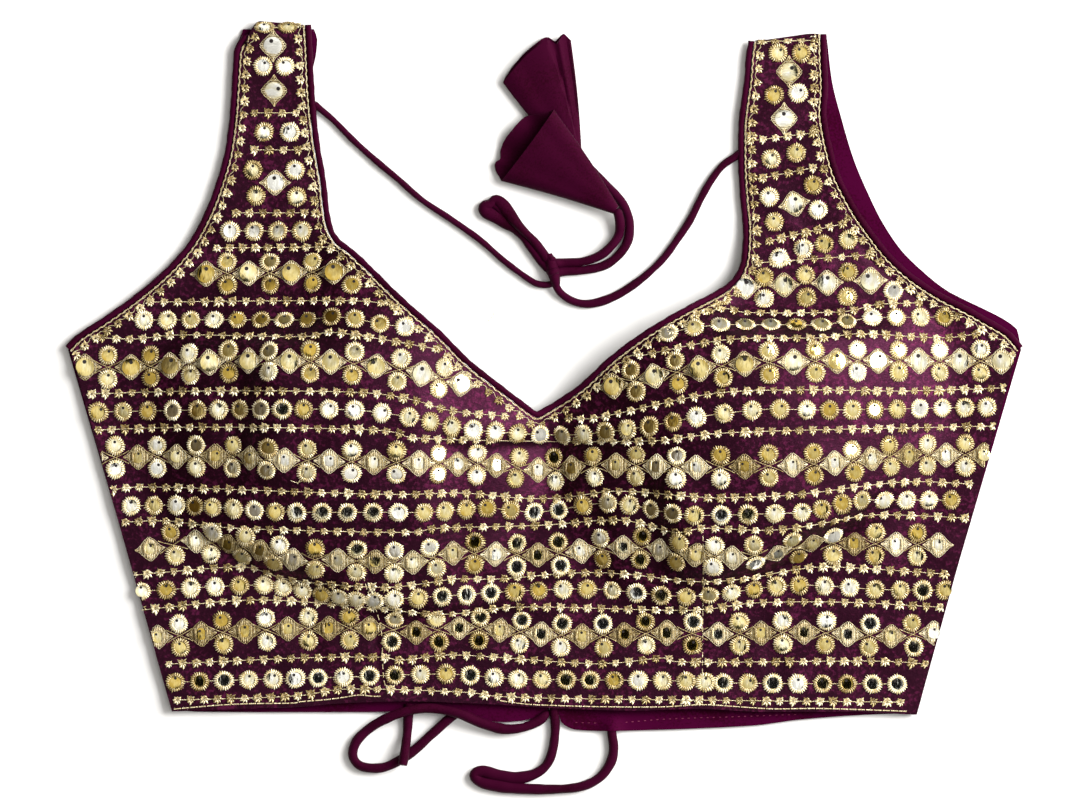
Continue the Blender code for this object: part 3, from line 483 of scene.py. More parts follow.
def plain_crepe(name, code_dark, code_light, scale):
    """Dull crepe-backed satin for backs, bindings, ties and tassels: a soft grain, little shine."""
    material, shader = new_material(name)
    place = add_node(material, "ShaderNodeTexCoord")
    grain = add_node(material, "ShaderNodeTexNoise", {"Scale": scale, "Detail": 3.0, "Roughness": 0.6},
                     [("Vector", place, "Object")])
    cloud = add_node(material, "ShaderNodeTexNoise", {"Scale": 30.0, "Detail": 2.0},
                     [("Vector", place, "Object")])
    both = add_node(material, "ShaderNodeMath", {"operation": "ADD"},
                    [(0, grain, "Fac"), (1, cloud, "Fac")])
    tint = ramp(material, both, "Value", [(0.8, code_dark), (1.2, code_light)])
    connect(material, tint, "Color", shader, "Base Color")
    bump = add_node(material, "ShaderNodeBump", {"Strength": 0.25, "Distance": 0.00015},
                    [("Height", grain, "Fac")])
    connect(material, bump, "Normal", shader, "Normal")
    shader.inputs["Roughness"].default_value = 0.7
    shader.inputs["Specular IOR Level"].default_value = 0.25
    shader.inputs["Specular Tint"].default_value = colour("#B03C74")
    shader.inputs["Sheen Weight"].default_value = 0.01
    shader.inputs["Sheen Roughness"].default_value = 0.5
    shader.inputs["Sheen Tint"].default_value = colour("#8C1C5C")
    return material


# Strands round one ring; elsewhere, radians of the strands' wave to a unit of the map
RING_STRANDS, THREAD_STRIPES = 22.0, 1250.0


def zari_thread(name, radial):
    """Gilt thread wound round a core, gold with random flecks; each strand's crest is painted pale, a
    painted highlight, and the gaps between strands dark, painted shade.
    """
    material, shader = new_material(name)
    map_uv = add_node(material, "ShaderNodeUVMap", {"uv_map": "motif"})
    split = add_node(material, "ShaderNodeSeparateXYZ", links=[("Vector", map_uv, "UV")])
    if radial:
        angle = add_node(material, "ShaderNodeMath", {"operation": "ARCTAN2"},
                         [(0, split, "Y"), (1, split, "X")])
        strand = add_node(material, "ShaderNodeMath", {"operation": "MULTIPLY", 1: RING_STRANDS},
                          [(0, angle, "Value")])
    else:
        # Strands 0.5 mm apart; the map holds a hundredth of a unit for each millimetre
        strand = add_node(material, "ShaderNodeMath", {"operation": "MULTIPLY", 1: THREAD_STRIPES},
                          [(0, split, "X")])
    wave = add_node(material, "ShaderNodeMath", {"operation": "SINE"}, [(0, strand, "Value")])
    place = add_node(material, "ShaderNodeTexCoord")
    fleck = add_node(material, "ShaderNodeTexNoise", {"Scale": 1500.0, "Detail": 2.0, "Roughness": 0.7},
                     [("Vector", place, "Object")])
    tone = add_node(material, "ShaderNodeAttribute", {"attribute_name": "tone"})
    # The strands' wave sets both the bump and the colour: painted highlights on the crests, painted shade in
    # the gaps between strands
    height = add_node(material, "ShaderNodeMath", {"operation": "MULTIPLY_ADD", 1: 0.22},
                      [(0, wave, "Value"), (2, fleck, "Fac")])
    shade = add_node(material, "ShaderNodeMath", {"operation": "MULTIPLY_ADD", 1: 0.38},
                     [(0, tone, "Fac"), (2, height, "Value")])
    tint = ramp(material, shade, "Value",
                [(0.28, "#2A1A08"), (0.48, "#8B7038"), (0.72, "#CDB980"), (0.94, "#FBF3D6")])
    connect(material, tint, "Color", shader, "Base Color")
    bump = add_node(material, "ShaderNodeBump", {"Strength": 0.9, "Distance": 0.0003},
                    [("Height", height, "Value")])
    connect(material, bump, "Normal", shader, "Normal")
    shader.inputs["Metallic"].default_value = 0.25
    shader.inputs["Roughness"].default_value = 0.30
    return material


def foil_mirror():
    """Gold-washed foil over a stiff disc: near-mirror shine and faint ripples, gold at the rim and painted
    paler towards the middle, a painted reflection.
    """
    material, shader = new_material("gilt_foil_mirror")
    map_uv = add_node(material, "ShaderNodeUVMap", {"uv_map": "motif"})
    tone = add_node(material, "ShaderNodeAttribute", {"attribute_name": "tone"})
    shift = add_node(material, "ShaderNodeVectorMath", {"operation": "MULTIPLY_ADD", 1: (65.0, 26.0, 0.0)},
                     [(0, map_uv, "UV"), (2, tone, "Vector")])
    ripple = add_node(material, "ShaderNodeTexNoise", {"Scale": 1.0, "Detail": 2.0, "Roughness": 0.5},
                      [("Vector", shift, "Vector")])
    mixed = add_node(material, "ShaderNodeMath", {"operation": "MULTIPLY_ADD", 1: 0.6},
                     [(0, ripple, "Fac"), (2, tone, "Fac")])
    # The map holds a hundredth of a unit for each millimetre from the disc's middle
    radius = add_node(material, "ShaderNodeVectorMath", {"operation": "LENGTH"}, [(0, map_uv, "UV")])
    # The foil's colour is painted paler towards the disc's middle, a painted reflection
    foil_tone_and_glint = add_node(material, "ShaderNodeMath", {"operation": "MULTIPLY_ADD", 1: -9.0},
                      [(0, radius, "Value"), (2, mixed, "Value")])
    tint = ramp(material, foil_tone_and_glint, "Value",
                [(0.22, "#C0A24B"), (0.50, "#E2CF8B"), (0.78, "#F5ECC6"), (1.00, "#FDFBF0")])
    connect(material, tint, "Color", shader, "Base Color")
    bump = add_node(material, "ShaderNodeBump", {"Strength": 0.26, "Distance": 0.0004},
                    [("Height", ripple, "Fac")])
    connect(material, bump, "Normal", shader, "Normal")
    shader.inputs["Metallic"].default_value = 1.0
    shader.inputs["Roughness"].default_value = 0.08
    return material


def stitch_hole():
    """Pierced hole of each foil disc, dark with the cloth behind it."""
    material, shader = new_material("pierced_hole")
    place = add_node(material, "ShaderNodeTexCoord")
    speck = add_node(material, "ShaderNodeTexNoise", {"Scale": 2500.0}, [("Vector", place, "Object")])
    tint = ramp(material, speck, "Fac", [(0.3, "#0A0405"), (0.7, "#1C0E0C")])
    connect(material, tint, "Color", shader, "Base Color")
    shader.inputs["Roughness"].default_value = 0.8
    return material


def table_top():
    """Pale matt table with a trace of grain."""
    material, shader = new_material("pale_table")
    place = add_node(material, "ShaderNodeTexCoord")
    grain = add_node(material, "ShaderNodeTexNoise", {"Scale": 60.0, "Detail": 2.0},
                     [("Vector", place, "Object")])
    tint = ramp(material, grain, "Fac", [(0.3, "#F4F4F4"), (0.7, "#F7F7F7")])
    connect(material, tint, "Color", shader, "Base Color")
    shader.inputs["Roughness"].default_value = 0.9
    return material


SATIN = worked_satin()
CREPE = plain_crepe("crepe_back_satin", "#280013", "#380124", 900.0)
TIE_CREPE = plain_crepe("tie_crepe", "#22020F", "#2E031B", 1200.0)
PLAIN_THREAD = plain_crepe("polyester_thread", "#5A2038", "#7A3450", 2000.0)
ZARI_RING = zari_thread("zari_buttonhole", True)
ZARI_FILL = zari_thread("zari_satin_stitch", False)
FOIL = foil_mirror()
HOLE = stitch_hole()


# ------------------------------------------------------------------ mesh helpers
# Units of the map named motif to a millimetre
MAP_SCALE = 0.01


def finish_piece(piece, material, smooth_angle):
    """Material, smooth shading up to an angle in degrees, and body."""
    piece.data.materials.clear()
    piece.data.materials.append(material)
    select_only(piece)
    bpy.ops.object.shade_smooth_by_angle(angle=math.radians(smooth_angle))
    clear_selection()
    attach(piece, "root")


def mesh_piece(name, points, faces, uv=None, tone=None):
    """Mesh object from table points in mm; uv is kept as the map named motif."""
    mesh = bpy.data.meshes.new(name)
    mesh.from_pydata(world(points).tolist(), [], [tuple(int(k) for k in face) for face in faces])
    mesh.update()
    if uv is not None:
        layer = mesh.uv_layers.new(name="motif")
        index = np.zeros(len(mesh.loops), dtype=np.int32)
        mesh.loops.foreach_get("vertex_index", index)
        layer.data.foreach_set("uv", np.asarray(uv, np.float32)[index].ravel())
    if tone is not None:
        attribute = mesh.attributes.new("tone", "FLOAT", "POINT")
        attribute.data.foreach_set("value", np.asarray(tone, np.float32))
    piece = bpy.data.objects.new(name, mesh)
    bpy.context.scene.collection.objects.link(piece)
    return piece


def apply_modifier(piece, kind, **settings):
    """Add a modifier with its settings and make its result the mesh."""
    select_only(piece)
    modifier = piece.modifiers.new(kind.title(), kind)
    for key, value in settings.items():
        setattr(modifier, key, value)
    bpy.ops.object.modifier_apply(modifier=modifier.name)
    clear_selection()


def walk_along(points):
    """Distance from a polyline's start to each of its points."""
    return np.concatenate([[0.0], np.cumsum(np.linalg.norm(np.diff(points, axis=0), axis=1))])


def smooth_path(stations, step):
    """Even points on a curve through the stations."""
    p = np.asarray(stations, float)
    p = np.vstack([p[:1], p, p[-1:]])
    t = np.linspace(0.0, 1.0, 16, endpoint=False)[:, None]
    fine = []
    for k in range(1, len(p) - 2):
        bend = 2.0 * p[k - 1] - 5.0 * p[k] + 4.0 * p[k + 1] - p[k + 2]
        twist = 3.0 * p[k] - p[k - 1] - 3.0 * p[k + 1] + p[k + 2]
        fine.append(0.5 * (2.0 * p[k] + (p[k + 1] - p[k - 1]) * t + bend * t * t + twist * t ** 3))
    fine = np.vstack(fine + [p[-1:]])
    walk = walk_along(fine)
    count = max(int(round(walk[-1] / step)), 2)
    marks = np.linspace(0.0, walk[-1], count + 1)
    return np.stack([np.interp(marks, walk, fine[:, axis]) for axis in range(p.shape[1])], axis=1)


def tube(path, radius, sides, flat=1.0, caps=True):
    """Points, faces and uv of a tube along a path; radius and flat may have a value for each point."""
    path = np.asarray(path, float)
    count = len(path)
    radius = np.broadcast_to(np.asarray(radius, float), (count,))
    ahead = np.gradient(path, axis=0)
    ahead = ahead / np.linalg.norm(ahead, axis=1)[:, None]
    side = np.cross(ahead, [0.0, 0.0, 1.0])
    side = side / np.maximum(np.linalg.norm(side, axis=1), 1e-9)[:, None]
    up = np.cross(side, ahead)
    walk = walk_along(path)
    points, uv = [], []
    for k in range(sides):
        angle = 2.0 * math.pi * k / sides
        points.append(path + side * (radius * math.cos(angle))[:, None]
                      + up * (radius * flat)[:, None] * math.sin(angle))
        uv.append(np.stack([walk * MAP_SCALE, np.full(count, k / sides)], axis=1))
    points = np.stack(points, axis=1).reshape(-1, 3)
    uv = np.stack(uv, axis=1).reshape(-1, 2)
    faces = []
    for row in range(count - 1):
        for k in range(sides):
            a, b = row * sides + k, row * sides + (k + 1) % sides
            faces.append((a, a + sides, b + sides, b))
    if caps:
        faces.append(tuple(range(sides)))
        faces.append(tuple(reversed([(count - 1) * sides + k for k in range(sides)])))
    return points, faces, uv


def join_shapes(shapes):
    """Several (points, faces, uv) shapes as one."""
    points, faces, uv, start = [], [], [], 0
    for p, f, u in shapes:
        points.append(p)
        uv.append(u)
        faces += [tuple(k + start for k in face) for face in f]
        start += len(p)
    return np.vstack(points), faces, np.vstack(uv)


# ------------------------------------------------------------------ ties
NECK_TIE = 3.6
BOW_TIE = 4.4
HEM_CORD = 4.6
# A tie's height as a share of its width, and its gap above the table
TIE_FLATNESS, TIE_CLEAR = 0.9, 0.05
# The sides of a tie's rings, their spacing, and the spacing of the points that state its route
TIE_SIDES, TIE_STEP, ROUTE_STEP = 18, 0.8, 3.0
# Share of the radius that the rings nearest to a tie's ends keep, by ring number
TIE_ENDS = ((0, 0.55), (1, 0.86), (-2, 0.86), (-1, 0.55))
KNOT_CENTRE = (4.2, 50.4, 4.3)
KNOT_TURN = 14.0
# Routes, each ending in the knot, the tassel or the seam that holds it: (across, up)
TIE_LEFT = [
    (-111.0, 130.6), (-107.8, 128.0), (-100.8, 122.0), (-91.7, 112.8), (-81.1, 103.2),
    (-69.6, 93.6), (-58.6, 84.0), (-44.2, 74.4), (-30.7, 64.8), (-19.7, 55.2),
    (-9.1, 47.2), (-3.2, 43.8), (2.6, 43.4), (5.0, 45.6),
]
TIE_RIGHT = [
    (95.2, 107.4), (91.8, 104.8), (85.6, 100.4), (79.7, 92.6), (74.9, 84.0),
    (70.1, 74.4), (63.8, 64.8), (56.6, 55.2), (46.1, 45.6), (34.1, 37.9),
    (23.0, 34.3), (14.6, 35.2), (8.0, 39.4), (4.6, 45.0),
]
BOW_LOOP = [
    (2.0, 54.6), (-0.6, 58.6), (-4.7, 64.2), (-9.6, 69.0), (-14.0, 74.0),
    (-17.4, 78.6), (-20.2, 82.0), (-23.2, 83.8), (-25.6, 82.2), (-28.4, 80.8),
    (-27.8, 78.4), (-24.0, 76.4), (-19.0, 73.6), (-13.6, 70.0), (-9.8, 66.0),
    (-7.6, 62.8), (-4.2, 58.4), (-0.3, 53.6), (3.0, 50.0),
]
TAIL_OUTER = [
    (4.4, 48.8), (10.3, 49.8), (19.7, 50.4), (29.4, 52.8), (36.4, 58.2),
    (40.4, 65.2), (40.8, 74.4), (37.6, 82.4), (31.6, 89.4), (25.6, 95.4),
    (21.0, 99.8), (17.0, 103.0),
]
TAIL_INNER = [
    (4.2, 53.6), (9.6, 53.8), (18.4, 54.4), (26.6, 57.2), (32.2, 61.8),
    (35.8, 67.2), (36.4, 73.4), (34.9, 79.6),
]
BOW_PLEAT = [(-25.4, 81.4, 2.4), (-22.4, 80.4, 2.6), (-18.6, 76.6, 2.6), (-15.2, 73.0, 2.4)]
PLEAT_RADIUS = 1.9
HEM_LOOP = [
    (2.0, -161.2), (-0.8, -164.6), (-4.8, -167.2), (-11.2, -169.4), (-20.0, -169.8),
    (-30.4, -166.8), (-41.0, -162.4), (-54.7, -159.9), (-66.3, -161.4), (-76.8, -165.4),
    (-84.5, -170.2), (-90.2, -176.2), (-91.7, -182.9), (-87.8, -187.7), (-78.7, -188.6),
    (-70.9, -185.8), (-62.2, -180.0), (-55.2, -173.6), (-50.4, -169.3), (-46.0, -165.4),
    (-40.6, -162.4),
]
HEM_FREE_END = [
    (-64.4, -157.9), (-65.2, -164.7), (-65.6, -171.6), (-66.6, -179.4), (-67.8, -187.2),
]
HEM_TIE = [
    (4.6, -157.6), (4.8, -161.6), (5.4, -170.0), (4.0, -180.6), (0.8, -187.6),
    (-5.4, -191.8), (-13.9, -193.4), (-22.6, -192.0), (-29.6, -190.2), (-33.4, -191.8),
    (-31.0, -195.0), (-24.2, -196.8), (-12.0, -198.4), (4.0, -198.8), (17.3, -197.6),
    (26.4, -193.4), (31.7, -186.6), (33.4, -179.6), (32.6, -172.0), (32.2, -166.4),
]


def make_tie(name, stations, diameter, nodes, heights=None, widths=None,
             bare=False, pleat=None):
    """Turned tube of bias cloth, a little uneven, closed at both ends.

    heights holds the middle's height and widths the share of the diameter at stations by number;
    pleat is the route of a fold of the same cloth inside the tie's bend.
    """
    rest = 0.5 * diameter * TIE_FLATNESS + TIE_CLEAR
    lifts, shares = heights or {}, widths or {}
    route = [(x, y, lifts.get(k, rest), shares.get(k, 1.0)) for k, (x, y) in enumerate(stations)]
    fine = smooth_path(route, TIE_STEP)
    path, share = fine[:, :3], fine[:, 3]
    walk = np.arange(len(path)) * TIE_STEP
    uneven = 0.035 * np.sin(walk / 3.1) + 0.03 * np.sin(walk / 7.7 + 2.0) + 0.02 * np.sin(walk / 1.3)
    radius = 0.5 * diameter * share * (1.0 + uneven)
    if not bare:
        for k, end_share in TIE_ENDS:
            radius[k] *= end_share
    shapes = [tube(path, radius, TIE_SIDES, flat=TIE_FLATNESS / np.maximum(share, 1.0))]
    if pleat:
        inner = smooth_path(pleat, TIE_STEP)
        swell = np.sin(np.linspace(0.35, math.pi - 0.35, len(inner))) ** 0.6
        shapes.append(tube(inner, PLEAT_RADIUS * swell, 12, flat=0.7))
    points, faces, uv = join_shapes(shapes)
    piece = mesh_piece(name, points, faces, uv=uv)
    finish_piece(piece, TIE_CREPE, 70.0)
    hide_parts(*nodes)
    marks = world(smooth_path([row[:3] for row in route], ROUTE_STEP))


KNOT_TURNS = 1.6
# Radii of the wraps' coil, of the tie that wraps, and of the bundle inside it
WRAP_REACH, WRAP_RADIUS, BUNDLE_RADIUS = 1.5, 1.9, 2.95
KNOT_SIDES = 14


def make_knot():
    """The tie drawn once and a half round the crossing, lying aslant."""
    turn = math.radians(KNOT_TURN)
    share = np.linspace(0.0, 1.0, 64)
    angles = -0.75 * math.pi + 2.0 * math.pi * KNOT_TURNS * share
    swell = 0.72 + 0.28 * np.sin(math.pi * share)
    x = WRAP_REACH * swell * np.cos(angles)
    z = WRAP_REACH * swell * np.sin(angles)
    lean = -4.6 + 9.6 * share + 1.2 * np.cos(angles)
    route = np.stack([x * math.cos(turn) - lean * math.sin(turn) + KNOT_CENTRE[0],
                      x * math.sin(turn) + lean * math.cos(turn) + KNOT_CENTRE[1],
                      z + KNOT_CENTRE[2] - 0.2], axis=1)
    run = np.linspace(-8.2, 8.0, 14)
    core = np.stack([-run * math.sin(turn) + KNOT_CENTRE[0], run * math.cos(turn) + KNOT_CENTRE[1],
                     np.full(len(run), KNOT_CENTRE[2] - 0.8)], axis=1)
    wraps = tube(route, WRAP_RADIUS * (1.0 - 0.4 * np.abs(2.0 * share - 1.0) ** 3), KNOT_SIDES)
    fullness = np.sin(np.linspace(0.3, math.pi - 0.3, len(run))) ** 0.55
    bundle = tube(core, BUNDLE_RADIUS * fullness, KNOT_SIDES)
    points, faces, uv = join_shapes([wraps, bundle])
    piece = mesh_piece("knot_wraps", points, faces, uv=uv)
    finish_piece(piece, TIE_CREPE, 70.0)
    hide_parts("neck_knot")
    return piece


# Mouth and lip follow rows of (place from the left corner to the right, out past the line between them)
TASSELS = [
    dict(name="tassel_upper", tip=(16.4, 103.0, 2.7), corner_left=(-19.7, 140.2, 2.9),
         corner_right=(12.9, 160.6, 4.2), tip_half=2.2, mouth_half=2.7,
         lip=[(0.0, 0.5), (0.3, 1.5), (0.7, 1.5), (1.0, 0.0)], bow_left=-1.4, bow_right=-0.8, fold=0.36,
         mouth=[(0.0, 0.0), (0.30, 3.4), (0.62, 6.6), (0.68, 5.8), (0.76, 2.2), (0.84, 3.2), (0.92, 4.2),
                (1.0, 0.0)]),
    dict(name="tassel_lower", tip=(34.4, 79.2, 5.6), corner_left=(-20.6, 93.1, 4.0),
         corner_right=(4.8, 127.2, 10.8), tip_half=2.3, mouth_half=4.2,
         lip=[(0.0, 1.3), (0.10, 6.4), (0.16, 7.6), (0.23, 6.8), (0.32, 9.2), (0.47, 10.8), (0.63, 9.9),
              (0.77, 6.0), (0.9, 2.0), (1.0, 0.0)],
         bow_left=0.6, bow_right=-0.8, fold=0.0, mouth=[(0.0, 0.0), (0.5, -0.4), (1.0, 0.0)]),
]
TASSEL_WALL = 0.8
TASSEL_CLEAR = 0.15
TASSEL_RINGS = 36
TASSEL_SIDES = 96


def make_tassel(spec):
    """Cone of cloth pressed flat, open at its mouth, with pressed edges."""
    tip, left, right = (np.array(spec[key]) for key in ("tip", "corner_left", "corner_right"))
    run = 0.5 * (left + right) - tip
    length = float(np.linalg.norm(run))
    axis = run / length
    half = 0.5 * (right - left)
    half_width = float(np.linalg.norm(half))
    side = half / half_width
    up = np.cross(side, axis)
    up = up / np.linalg.norm(up)
    up = up if up[2] > 0.0 else -up
    angle = 2.0 * math.pi * np.arange(TASSEL_SIDES) / TASSEL_SIDES
    cos, sin = np.cos(angle), np.sin(angle)
    place = 0.5 + 0.5 * cos
    mouth = read_curve(spec["mouth"], 1, place)

    def ring(share, inset):
        """One ring from the tip at 0 to the mouth at 1, inset from the outer face."""
        wide = spec["tip_half"] + (half_width - spec["tip_half"]) * share - inset
        tall = spec["tip_half"] + (spec["mouth_half"] - spec["tip_half"]) * share - inset
        grown = ease(0.55, 1.0, share)
        # The lower wall runs on past the mouth
        far = read_curve(spec["lip"], 1, place) * ease(0.0, 0.5, -sin) * grown
        far = far + mouth * grown
        bow = np.where(cos < 0.0, spec["bow_left"], spec["bow_right"]) * math.sin(math.pi * share)
        pressed = np.sign(cos) * np.abs(cos) ** (1.0 - 0.3 * share)
        ripple = share * np.sin(9.0 * cos + 1.0) * np.where(sin > 0.0, 0.25 * sin, -0.9 * grown * sin)
        if spec["fold"]:
            # The right third is folded under: a step along the fold and a second, lower layer
            past = ease(-0.025, 0.025, cos - spec["fold"] - 0.25 * (1.0 - share))
            ripple = ripple - 1.9 * past * ease(0.05, 0.5, share) * (sin > -0.2)
            ridge = np.exp(-((cos - spec["fold"] - 0.25) / 0.10) ** 2)
            ripple = ripple + 0.9 * ridge * ease(0.2, 0.8, share) * (sin > 0.0)
        return (tip + axis * (length * share + far)[:, None]
                + side * (pressed * (wide - bow * cos ** 2))[:, None]
                + up * (sin * tall + ripple)[:, None])

    shares = np.arange(TASSEL_RINGS + 1) / TASSEL_RINGS
    rings = [ring(s, 0.0) for s in shares] + [ring(s, TASSEL_WALL) for s in shares[:0:-1]]
    points = np.vstack(rings)
    points[:, 2] = np.maximum(points[:, 2], TASSEL_CLEAR)
    faces = []
    for k in range(len(rings) - 1):
        for j in range(TASSEL_SIDES):
            a, b = k * TASSEL_SIDES + j, k * TASSEL_SIDES + (j + 1) % TASSEL_SIDES
            faces.append((a, b, b + TASSEL_SIDES, a + TASSEL_SIDES))
    faces.append(tuple(range(TASSEL_SIDES))[::-1])
    last = (len(rings) - 1) * TASSEL_SIDES
    faces.append(tuple(last + j for j in range(TASSEL_SIDES)))
    piece = mesh_piece(spec["name"] + "_cloth", points, faces)
    select_only(piece)
    bpy.ops.object.mode_set(mode="EDIT")
    bpy.ops.mesh.select_all(action="SELECT")
    bpy.ops.mesh.normals_make_consistent(inside=False)
    bpy.ops.object.mode_set(mode="OBJECT")
    finish_piece(piece, TIE_CREPE, 45.0)
    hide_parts(spec["name"])
    return piece


def make_ties():
    """The knot and the tassels, then the eight ties that hold them or go into the cloth."""
    knot = make_knot()
    upper, lower = (make_tassel(spec) for spec in TASSELS)
    make_tie("tie_left", TIE_LEFT, NECK_TIE, ["neck_cord_left"],
             heights={0: 2.4, 13: 3.4},
             widths={k: 0.84 for k in range(1, 14)})
    make_tie("tie_right", TIE_RIGHT, NECK_TIE, ["neck_cord_right"],
             heights={0: 2.4, 12: 2.4, 13: 3.4},
             widths={8: 1.05, 9: 1.15, 10: 1.15, 11: 1.1})
    make_tie("half_bow", BOW_LOOP, BOW_TIE, ["bow_loop"],
             heights={0: 3.6, 1: 3.0, 2: 3.6, 3: 4.4, 4: 4.2, 5: 3.4, 6: 2.8, 18: 3.6},
             widths={2: 0.95, 3: 0.95, 4: 1.15, 5: 1.45, 6: 1.4, 7: 1.25, 8: 0.95,
                     9: 1.3, 10: 1.4, 11: 1.45, 12: 1.45, 13: 1.1, 14: 0.95, 15: 0.9,
                     16: 0.95},
             pleat=BOW_PLEAT)
    make_tie("tail_outer_tie", TAIL_OUTER, BOW_TIE, ["tail_outer"],
             heights={0: 3.4, 11: 2.7})
    make_tie("tail_inner_tie", TAIL_INNER, BOW_TIE, ["tail_inner"],
             heights={0: 3.4, 2: 3.2, 3: 4.2, 4: 4.2, 5: 3.2, 6: 4.6, 7: 5.6})
    make_tie("hem_bow", HEM_LOOP, HEM_CORD, ["hem_loop", "hem_loop_end"],
             heights={0: 1.5, 1: 2.2, 2: 2.6, 3: 3.2, 4: 3.2, 5: 4.0, 6: 5.6, 7: 5.2, 8: 6.2,
                      9: 4.6, 20: 1.6},
             widths={0: 0.6, 4: 1.1, 5: 1.1, 20: 0.7})
    make_tie("hem_cut_end", HEM_FREE_END, HEM_CORD, ["hem_free_end"],
             heights={3: 5.4, 4: 6.6}, bare=True)
    make_tie("hem_long_tie", HEM_TIE, HEM_CORD, ["hem_tie"],
             heights={0: 1.4, 1: 1.8, 19: 1.6},
             widths={0: 0.8, 1: 0.95, 5: 1.1, 6: 1.25, 7: 1.3, 8: 1.25, 9: 1.1,
                     10: 1.2, 11: 1.3, 12: 1.15, 19: 0.7})


make_ties()


# ------------------------------------------------------------------ front cloth
HALF_COLUMNS = 90
LOWER_ROWS = 72
SIDE_ROWS = 14
STRAP_ROWS = 84
# Tops of the straps, right then left: outer corner's drop, and rise of the outer and inner end
STRAP_TOP_SHAPE = [dict(drop=1.0, outer=2.3, inner=-2.2), dict(drop=7.6, outer=2.3, inner=0.0)]
# Share of a strap's width that the dropped corner takes, and how far down its rows bend
CORNER_SHARE, TOP_BEND = 0.22, 16.0
# Above 1, so that a strap's rows lie closer together near the underarm
STRAP_CROWDING = 1.12


def front_grid():
    """Plan of the front: rows over the full width, then a block for each strap."""
    across = np.arange(2 * HALF_COLUMNS + 1) / HALF_COLUMNS
    lower = []
    for row in range(LOWER_ROWS + 1):
        share = row / LOWER_ROWS
        level = V_POINT[1] + (HEM_CORNER_LEFT[1] - V_POINT[1]) * (1.0 - share)
        left, right = float(side_edge(level, True)), float(side_edge(level, False))
        x = np.where(across <= 1.0, left + (V_POINT[0] - left) * across,
                     V_POINT[0] + (right - V_POINT[0]) * (across - 1.0))
        hem = read_curve(FRONT_HEM, 1, x)
        lower.append(np.stack([x, hem + (V_POINT[1] - hem) * share], axis=1))
    blocks = []
    for left, corner, top in ((True, UNDERARM_LEFT, STRAP_TOP_LEFT),
                              (False, UNDERARM_RIGHT, STRAP_TOP_RIGHT)):
        levels = list(V_POINT[1] + (corner[1] - V_POINT[1]) * np.arange(1, SIDE_ROWS + 1) / SIDE_ROWS)
        levels += list(corner[1] + (top - corner[1]) * (np.arange(1, STRAP_ROWS + 1) / STRAP_ROWS)
                       ** STRAP_CROWDING)
        rows = []
        for level in levels:
            outer, inner = float(side_edge(level, left)), float(neck_edge(level, left))
            share = np.arange(HALF_COLUMNS + 1) / HALF_COLUMNS
            shape = STRAP_TOP_SHAPE[left]
            rise = shape["outer"] + (shape["inner"] - shape["outer"]) * share
            rise -= shape["drop"] * np.clip(1.0 - share / CORNER_SHARE, 0.0, 1.0) ** 2
            rise = rise * ease(top - TOP_BEND, top, level)
            line = np.stack([outer + (inner - outer) * share, level + rise], axis=1)
            rows.append(line if left else line[::-1])
        blocks.append(rows)
    return lower, blocks[0], blocks[1]


def make_front():
    """Thin shell that follows the whole front, with its small creases."""
    lower, left, right = front_grid()
    plan = np.vstack(lower + left + right)
    width, half = 2 * HALF_COLUMNS + 1, HALF_COLUMNS + 1
    quads = []

    def strip(below, above):
        """Faces between two rows of points."""
        quads.extend((below[k], below[k + 1], above[k + 1], above[k]) for k in range(len(below) - 1))

    starts = [row * width for row in range(LOWER_ROWS + 1)]
    for row in range(LOWER_ROWS):
        strip(range(starts[row], starts[row] + width), range(starts[row + 1], starts[row + 1] + width))
    begin = (LOWER_ROWS + 1) * width
    for rows, offset in ((left, 0), (right, HALF_COLUMNS)):
        below = range(starts[-1] + offset, starts[-1] + offset + half)
        for _ in rows:
            above = range(begin, begin + half)
            strip(below, above)
            below = above
            begin += half
    points = on_cloth(plan[:, 0], plan[:, 1])
    piece = mesh_piece("worked_front", points, quads)
    apply_modifier(piece, "SOLIDIFY", thickness=FRONT_SHELL * MM, offset=-1.0)
    finish_piece(piece, SATIN, 60.0)
    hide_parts("front_panel")
    return piece, left, right


front, GRID_LEFT, GRID_RIGHT = make_front()


BINDING_STEP, BINDING_SIDES = 1.1, 12


def make_binding(name, line, node):
    """Narrow bias strip rolled over the raw edge, slightly drawn up by its stitches."""
    centre = move_sideways(line, SEAM_GAP + 0.5 * BINDING_WIDTH)
    height = front_height(line[:, 0], line[:, 1])
    route = smooth_path(np.column_stack([centre, height]), BINDING_STEP)
    walk = np.arange(len(route))
    radius = 0.5 * BINDING_WIDTH * (1.0 + 0.05 * np.sin(walk / 1.9) + 0.04 * np.sin(walk / 0.83))
    points, faces, uv = tube(route, radius, BINDING_SIDES, flat=BINDING_HEIGHT / BINDING_WIDTH)
    piece = mesh_piece(name, points, faces, uv=uv)
    finish_piece(piece, TIE_CREPE, 70.0)
    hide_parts(node)


def rim(rows, index, corner=-1e9):
    """One side of a strap's block of rows, from a level up."""
    line = np.array([row[index] for row in rows])
    return line[line[:, 1] >= corner - 1e-6]


def border_lines():
    """The front's bound edges: the neck, then the left and the right armhole."""
    neck = np.vstack([rim(GRID_LEFT, -1)[::-1], [V_POINT], rim(GRID_RIGHT, 0)])
    return neck, rim(GRID_LEFT, 0, UNDERARM_LEFT[1]), rim(GRID_RIGHT, -1, UNDERARM_RIGHT[1])[::-1]


BINDINGS = [("neck_bias", "neck_binding"), ("armhole_bias_left", "armhole_binding_left"),
            ("armhole_bias_right", "armhole_binding_right")]
for (binding_name, binding_node), bound_edge in zip(BINDINGS, border_lines()):
    make_binding(binding_name, bound_edge, binding_node)


# ------------------------------------------------------------------ backs
BACK_COLUMNS = 110
# Rows from the first level one up to the underarm, and on to the shoulder
LOW_BACK_ROWS, HIGH_BACK_ROWS = 26, 60
# How far the drawn face lies under the solid's
BACK_SINK = 0.1
# Rows near the hem, as shares of the way up to the first level row
HEM_ROWS = (0.0, 0.02, 0.05, 0.09, 0.13, 0.17, 0.22, 0.35, 0.6, 0.8)
